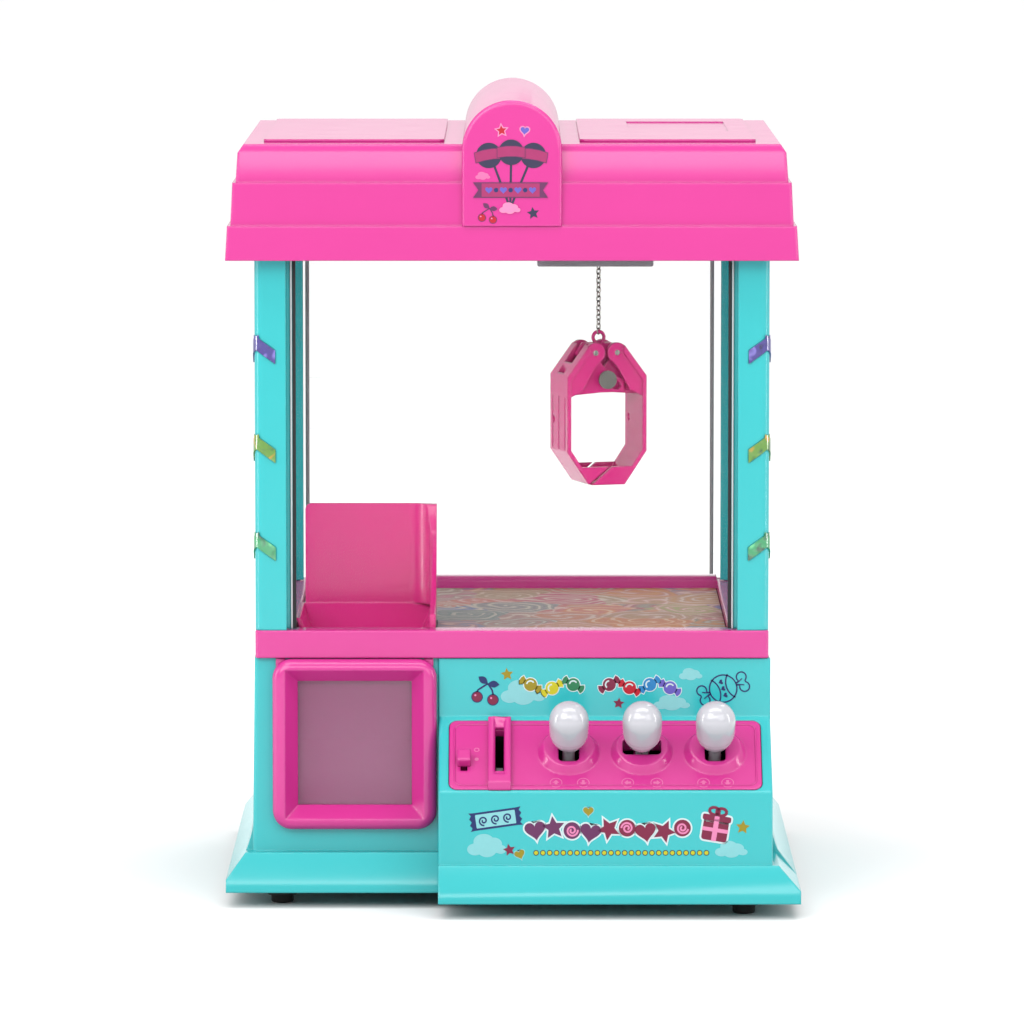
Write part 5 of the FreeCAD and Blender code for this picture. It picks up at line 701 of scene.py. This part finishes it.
def console_print():
    """Across the console's front: a ticket, a garland of hearts and stars, a gift box."""
    foot, height = 22.0, 33.3
    lean = math.atan2(CONSOLE_FOOT_AHEAD - CONSOLE_TOP_AHEAD, height)
    # Up the leaning face, the foot keeps its own height, and all else is measured from it.
    matrix = (Matrix.Translation((0, CABINET_Y - CONSOLE_FOOT_AHEAD, foot))
              @ Matrix.Rotation(math.pi / 2 - lean, 4, "X") @ Matrix.Translation((0, -foot, 0)))
    sheet = Print("console_print", matrix)
    sheet.add(cloud(-11.0, 31.6, 17.5, 10.5), "sky", 0)
    sheet.add(cloud(96.6, 30.0, 14.5, 7.6), "sky", 0)
    # Ticket with toothed ends.
    tilt = 0.14
    middle = (-7.2, 43.4)
    end = [(11.6 if step % 2 == 0 else 10.6, -4.1 + 8.2 * step / 6) for step in range(7)]
    edge = [(9.4, -3.9)] + end + [(9.4, 3.9)]
    edge = [(-x, -z) for x, z in edge[-1:]] + edge + [(-x, -z) for x, z in edge[:-1]]
    sheet.add(turned(edge, tilt, *middle), "navy", 1)
    sheet.add(bar(*middle, 17.6, 6.0, 0.4, tilt), "sky", 2)
    for step in (-1, 0, 1):
        x, z = turned([(step * 5.4, 0)], tilt, *middle)[0]
        sheet.add(stroke(spiral(x, z, 2.1, 1.4, 30, 2.4), 0.7), "navy", 3)
    sheet.add(star(-1.2, 29.8, 2.8, 0.2), "maroon", 1)
    sheet.bordered(heart(3.4, 27.9, 4.6, 0.35), "gold", "sky", 0.35)
    sheet.bordered(heart(33.6, 46.9, 4.6), "gold", "sky", 0.35)
    # Garland of hearts, stars and lollipops, over a row of beads.
    for index in range(9):
        x = 10.2 + index * 8.1
        z = 38.6 + 1.0 * math.sin(index * 1.7)
        colour = "plum" if index < 4 else "maroon"
        if index % 3 == 0:
            sheet.bordered(heart(x, z, 9.2, 0.16 * (-1) ** index), colour, "white", 0.7)
        elif index % 3 == 1:
            sheet.bordered(star(x, z, 5.2, 0.12 * index), colour, "white", 0.7)
        else:
            sheet.bordered(disc(x, z, 3.7), colour, "white", 0.7)
            sheet.add(stroke(spiral(x, z, 2.6, 1.7, 36, index), 0.8), "blush", 2)
    for index in range(26):
        x = 10.6 + index * 3.0
        sheet.add(disc(x, 28.5, 1.25, 1.0, 20), "slate", 0)
        sheet.add(disc(x, 28.5, 0.9, 1.0, 20), "yellow", 1)
    # Gift box with a ribbon and a bow.
    gx, gz, tilt = 89.4, 38.6, -0.16
    sheet.bordered(bar(gx, gz, 11.2, 9.6, 1.2, tilt), "maroon", "white", 0.8)
    lid = turned([(0, 5.2)], tilt, gx, gz)[0]
    sheet.bordered(bar(*lid, 12.6, 2.6, 0.8, tilt), "maroon", "white", 0.8, 2)
    sheet.add(bar(gx, gz, 2.2, 9.8, 0, tilt), "blush", 3)
    sheet.add(bar(gx, gz, 11.4, 1.7, 0, tilt), "blush", 4)
    sheet.add(bar(*lid, 2.2, 2.6, 0, tilt), "blush", 3)
    for way in (-1, 1):
        loop = turned(arc(way * 2.4, 8.0, 2.2, 0, 360, 26, 0.72), tilt + way * 0.1, gx, gz)
        sheet.add(stroke(loop, 1.3), "maroon", 3)
    sheet.add(star(101.6, 39.8, 3.2, -0.1), "gold", 1)
    sheet.done()


def panel_print(panel):
    """Pale arrows by each lever, and marks by the power switch."""
    sheet = Print("panel_print", panel @ Matrix.Translation((0, 0, PANEL_PROUD)))
    arrow = [(0, 1.5), (1.5, 0), (0.6, 0), (0.6, -1.5), (-0.6, -1.5), (-0.6, 0), (-1.5, 0)]
    signs = [(19.4, 0.0), (31.4, math.pi), (51.0, math.pi / 2), (63.8, -math.pi / 2),
             (84.4, 0.0), (95.0, math.pi)]
    sign_row, switch_column = -39.9, -15.6
    for x, turn in signs:
        sheet.add(stroke(arc(x, sign_row, 2.6, 0, 360, 32), 0.35), "pale", 0)
        sheet.add(turned(arrow, turn, x, sign_row), "pale", 1)
    sheet.add(disc(switch_column, -26.0, 0.9), "pale", 0)
    sheet.add(stroke(arc(switch_column, -20.4, 1.0, 0, 360, 24), 0.4), "pale", 0)
    sheet.done()


# ---------------------------------------------------------------- pieces built here


def levers():
    """White bulbs with a moulding seam, on stems that run down to their pivots."""
    profile = [(0.0, 29.5)]
    profile += [(8.8 * math.sin(math.radians(a)), 20.7 + 8.8 * math.cos(math.radians(a)))
                for a in range(6, 91, 6)]
    profile += [(8.8, 18.4), (8.7, 16.0), (8.58, 13.8), (8.48, 12.5), (8.4, 12.2), (8.28, 12.05),
                (8.24, 11.8), (8.1, 10.8), (7.6, 9.6), (7.0, 8.3), (6.4, 7.2), (5.75, 6.2),
                (5.0, 5.3), (4.3, 4.5), (3.7, 3.8), (3.15, 3.1), (2.85, 2.5), (2.8, 1.4),
                (2.8, -6.0), (3.2, -6.6), (3.2, -10.4), (1.6, -11.0), (1.6, -16.2), (1.2, -16.5),
                (0.0, -16.5)]
    for label in ("left", "middle", "right"):
        pivot = millimetres(JOINTS[f"lever_{label}_tilt"]["pos_m"])
        mesh_data = bmesh.new()
        lathe(mesh_data, profile, steps=64)
        piece = finish_piece(f"knob_{label}", mesh_data, [WHITE], f"lever_{label}",
                             slope_frame(pivot), replaces=[f"lever_{label}"], sharp=50.0)


def chain_links():
    """Bright wire links, each turned a quarter from the last."""
    pitch, wire, first_turn = 2.1, 0.34, 0.6
    bend, straight = 0.92, 0.42
    path = [(bend * math.cos(math.radians(a)), 0, straight + bend * math.sin(math.radians(a)))
            for a in range(0, 181, 20)]
    path += [(bend * math.cos(math.radians(a)), 0, -straight + bend * math.sin(math.radians(a)))
             for a in range(180, 361, 20)]
    half = straight + bend + wire
    count = int(round((CHAIN_HIGH.z - CHAIN_LOW.z - 2 * half) / pitch)) + 1
    mesh_data = bmesh.new()
    for index in range(count):
        z = CHAIN_LOW.z + half + pitch * index
        link = bmesh.new()
        tube(link, path, wire, closed=True, sides=10)
        quarter = math.pi / 2 * index + first_turn
        link.transform(CLAW @ Matrix.Translation((0, 0, z)) @ Matrix.Rotation(quarter, 4, "Z"))
        scratch = bpy.data.meshes.new("link")
        link.to_mesh(scratch)
        link.free()
        mesh_data.from_mesh(scratch)
        bpy.data.meshes.remove(scratch)
    finish_piece("chain_wire", mesh_data, [STEEL], "hook", replaces=["chain"])


def panel_rim(panel):
    """The raised line moulded round the control panel, just inside its edge."""
    left, right, back, front, corner = -25.4, 107.8, -5.4, -41.4, 3.4
    path = []
    for cx, cy, start in ((right - corner, back - corner, 0), (left + corner, back - corner, 90),
                          (left + corner, front + corner, 180),
                          (right - corner, front + corner, 270)):
        path += [(x, y, PANEL_PROUD) for x, y in arc(cx, cy, corner, start, start + 90, 6)]
    mesh_data = bmesh.new()
    tube(mesh_data, path, 0.45, closed=True, sides=10)
    finish_piece("panel_rim", mesh_data, [PINK], "machine", panel)


def door_strips():
    """The grey seal strips down the rear door's upright edges, proud of both its faces."""
    door_behind, door_thick, proud = 100.4, 1.6, 0.1
    half_wide, bottom, top = 0.9, 125.2, 286.6
    depth = door_thick / 2 + proud
    mesh_data = bmesh.new()
    for x in (-96.3, 94.1):
        outline = [(x - half_wide, bottom), (x + half_wide, bottom), (x + half_wide, top),
                   (x - half_wide, top)]
        slab(mesh_data, outline, -depth, depth)
    matrix = upright(CABINET_Y + door_behind)
    finish_piece("door_strips", mesh_data, [STRIP], "rear_door", matrix)


def foot_pads():
    """Rubber feet with a rounded tread and a moulded ring."""
    top = span("rubber_feet")[1].z
    profile = [(0.0, 0.0), (3.8, 0.0), (4.6, 0.3), (5.0, 0.9), (5.0, 3.2), (5.2, 3.5), (6.4, 3.7),
               (6.8, 4.1), (6.8, top), (0.0, top)]
    corners = {}
    for vertex in frame["nodes"]["rubber_feet"].data.vertices:
        key = (vertex.co.x > 0, vertex.co.y > 0)
        corners.setdefault(key, []).append(vertex.co)
    mesh_data = bmesh.new()
    for points in corners.values():
        x = (min(p.x for p in points) + max(p.x for p in points)) / 2 / MM
        y = (min(p.y for p in points) + max(p.y for p in points)) / 2 / MM
        lathe(mesh_data, profile, Matrix.Translation((x, y, 0)), 40)
    piece = finish_piece("foot_pads", mesh_data, [RUBBER], "machine",
                         replaces=["rubber_feet"], sharp=40.0)


# ---------------------------------------------------------------- CAD nodes kept, with better looks

# Each node's material and bevel width. Short mesh edges hold many of the bevels narrower.
LOOKS = {
    "base_shell": (TEAL, 0.9), "base_plate": (TEAL, 0.0), "base_screws": (DULL_STEEL, 0.15),
    "console_housing": (TEAL, 1.5), "control_panel": (PINK, 0.4), "lever_pins": (STEEL, 0.1),
    "switch_blocks": (PINK, 0.2), "coin_slot_bezel": (PINK, 0.35), "coin_chute": (BLACK, 0.0),
    "coin_flap": (WHITE, 0.1), "power_switch_knob": (PINK, 0.2), "prize_door_bezel": (PINK, 1.0),
    "prize_door": (SMOKED, 0.2), "prize_bin": (BIN_WHITE, 0.2), "prize_chute": (DEEP_PINK, 0.45),
    "tray_frame": (PINK, 0.6), "play_floor": (CARD, 0.2), "violet_lenses": (VIOLET, 0.3),
    "lime_lenses": (LIME, 0.3), "green_lenses": (GREEN, 0.3), "front_columns": (TEAL, 0.35),
    "rear_columns": (TEAL, 0.35), "front_window": (CLEAR, 0.0), "left_window": (CLEAR, 0.0),
    "right_window": (CLEAR, 0.0), "window_seals": (SEAL, 0.2), "glazing_beads": (BEAD, 0.2),
    "rear_door": (CLEAR, 0.0), "roof_shell": (PINK, 1.1), "roof_arch": (PINK, 0.0),
    "roof_panels": (PINK, 0.45), "top_frame": (PINK, 0.3), "gantry_rails": (GREY, 0.0),
    "bridge_trucks": (GREY, 0.4), "bridge_rods": (STEEL, 0.2), "bridge_rack": (GREY, 0.0),
    "bridge_motor": (STEEL, 0.3), "bridge_pinion": (WHITE, 0.0), "trolley_housing": (GREY, 0.3),
    "trolley_carrier": (GREY, 0.3), "trolley_motors": (STEEL, 0.3), "trolley_pinion": (WHITE, 0.0),
    "hoist_drum": (WHITE, 0.2), "claw_puller": (DEEP_PINK, 0.0), "claw_pin": (DULL_STEEL, 0.25),
    "claw_head": (DEEP_PINK, 0.3), "knuckle_pins": (STEEL, 0.15), "jaw_left": (DEEP_PINK, 0.3),
    "jaw_right": (DEEP_PINK, 0.3), "battery_box": (BLACK, 0.3), "battery_cover": (TEAL, 0.3),
    "battery_contacts": (STEEL, 0.2), "control_board": (BOARD, 0.1), "speaker": (BLACK, 0.2),
}


def dress(node, material, edge):
    """Gives a CAD node its material, softened edges and smooth shading."""
    piece = frame["nodes"][node]
    piece.data.materials.clear()
    piece.data.materials.append(material)
    for polygon in piece.data.polygons:
        polygon.use_smooth = True
    weld = piece.modifiers.new("weld", "WELD")
    weld.merge_threshold = 0.00001
    if not edge:
        split = piece.modifiers.new("split", "EDGE_SPLIT")
        split.split_angle = math.radians(30)
        return
    bevel = piece.modifiers.new("edge", "BEVEL")
    bevel.width = edge * MM
    bevel.segments = 3
    bevel.limit_method = "ANGLE"
    bevel.angle_limit = math.radians(38)
    bevel.miter_outer = "MITER_ARC"
    normals = piece.modifiers.new("normals", "WEIGHTED_NORMAL")
    normals.weight = 60


# ---------------------------------------------------------------- stage, lights, camera


def stage():
    """A white floor, painted greyer round the machine to deepen its shadow, under a plain white
    sky.
    """
    mesh_data = bmesh.new()
    half = 60000.0
    corners = [(-half, -half), (half, -half), (half, half), (-half, half)]
    mesh_data.faces.new([mesh_data.verts.new((x, y, 0)) for x, y in corners])
    mesh_data.transform(Matrix.Scale(MM, 4))
    mesh = bpy.data.meshes.new("floor")
    mesh_data.to_mesh(mesh)
    mesh_data.free()
    paint = Paint("studio_floor")
    # The floor is painted greyer close to the machine, which deepens the shadow round its foot,
    # while the lamps, strongest there, keep the lit floor white. Radii in metres.
    near_radius, shadow_deepening_grey = 0.2, (0.64, 0.64, 0.64, 1)
    far_radius, far_grey = 0.6, (0.95, 0.95, 0.95, 1)
    reach = paint.add("ShaderNodeVectorMath", operation="LENGTH")
    paint.link(paint.place, reach.inputs[0])
    far = paint.between(reach.outputs["Value"], 0.0, 1.0)
    far.node.inputs["From Min"].default_value = near_radius
    far.node.inputs["From Max"].default_value = far_radius
    paint.colour(paint.blend(far, shadow_deepening_grey, far_grey))
    paint.set(Roughness=0.9, Specular_IOR_Level=0.1)
    mesh.materials.append(paint.material)
    floor = bpy.data.objects.new("floor", mesh)
    bpy.context.scene.collection.objects.link(floor)
    world = bpy.data.worlds.new("studio")
    world.use_nodes = True
    world.node_tree.nodes["Background"].inputs["Color"].default_value = (1, 1, 1, 1)
    world.node_tree.nodes["Background"].inputs["Strength"].default_value = 1.06
    bpy.context.scene.world = world
    bpy.context.scene.view_settings.view_transform = "Standard"


def softbox(name, place, size, power):
    """A rectangular lamp that faces the middle of the machine."""
    target = Vector((0, 0, 180))
    light = bpy.data.lights.new(name, "AREA")
    light.shape = "RECTANGLE"
    light.size = size[0] * MM
    light.size_y = size[1] * MM
    light.energy = power
    lamp = bpy.data.objects.new(name, light)
    lamp.location = Vector(place) * MM
    way = (target - Vector(place)).normalized()
    lamp.rotation_mode = "QUATERNION"
    lamp.rotation_quaternion = way.to_track_quat("-Z", "Y")
    bpy.context.scene.collection.objects.link(lamp)


def lights():
    """Soft boxes in front, above and behind, and strips that draw lines down the side edges."""
    softbox("key", (-800, -1200, 950), (900, 900), 13.0)
    softbox("fill", (850, -1200, 700), (800, 800), 5.0)
    softbox("front", (0, -1500, 850), (1000, 450), 6.0)
    softbox("top", (0, -450, 1350), (1500, 450), 10.0)
    softbox("back", (400, 900, 1400), (1000, 600), 7.0)
    softbox("left_strip", (-1250, -250, 300), (110, 1000), 5.0)
    softbox("right_strip", (1250, -250, 300), (110, 1000), 4.0)


def camera():
    """A long lens a little above the machine, as in a catalogue picture."""
    data = bpy.data.cameras.new("camera")
    data.lens = 256.2
    data.sensor_width = 36.0
    data.clip_end = 50.0
    view = bpy.data.objects.new("camera", data)
    rise = math.radians(5.563)
    tilt = math.radians(5.824)
    distance = 3335.0
    aim = Vector((0, CABINET_Y, 180.0))
    view.location = (aim + Vector((0, -math.cos(rise), math.sin(rise))) * distance) * MM
    view.rotation_euler = (math.pi / 2 - tilt, 0, 0)
    bpy.context.scene.collection.objects.link(view)
    bpy.context.scene.camera = view


def build():
    for node, (material, edge) in LOOKS.items():
        dress(node, material, edge)
    # The panel's own axes start at the middle of the machine, on the slope's top edge.
    left = millimetres(JOINTS["lever_left_tilt"]["pos_m"])
    panel = slope_frame(left) @ Matrix.Translation((-left.x, PIVOT_DOWN_SLOPE, 0))
    levers()
    chain_links()
    panel_rim(panel)
    door_strips()
    foot_pads()
    roof_print()
    fascia_print()
    console_print()
    panel_print(panel)
    stage()
    lights()
    camera()


build()
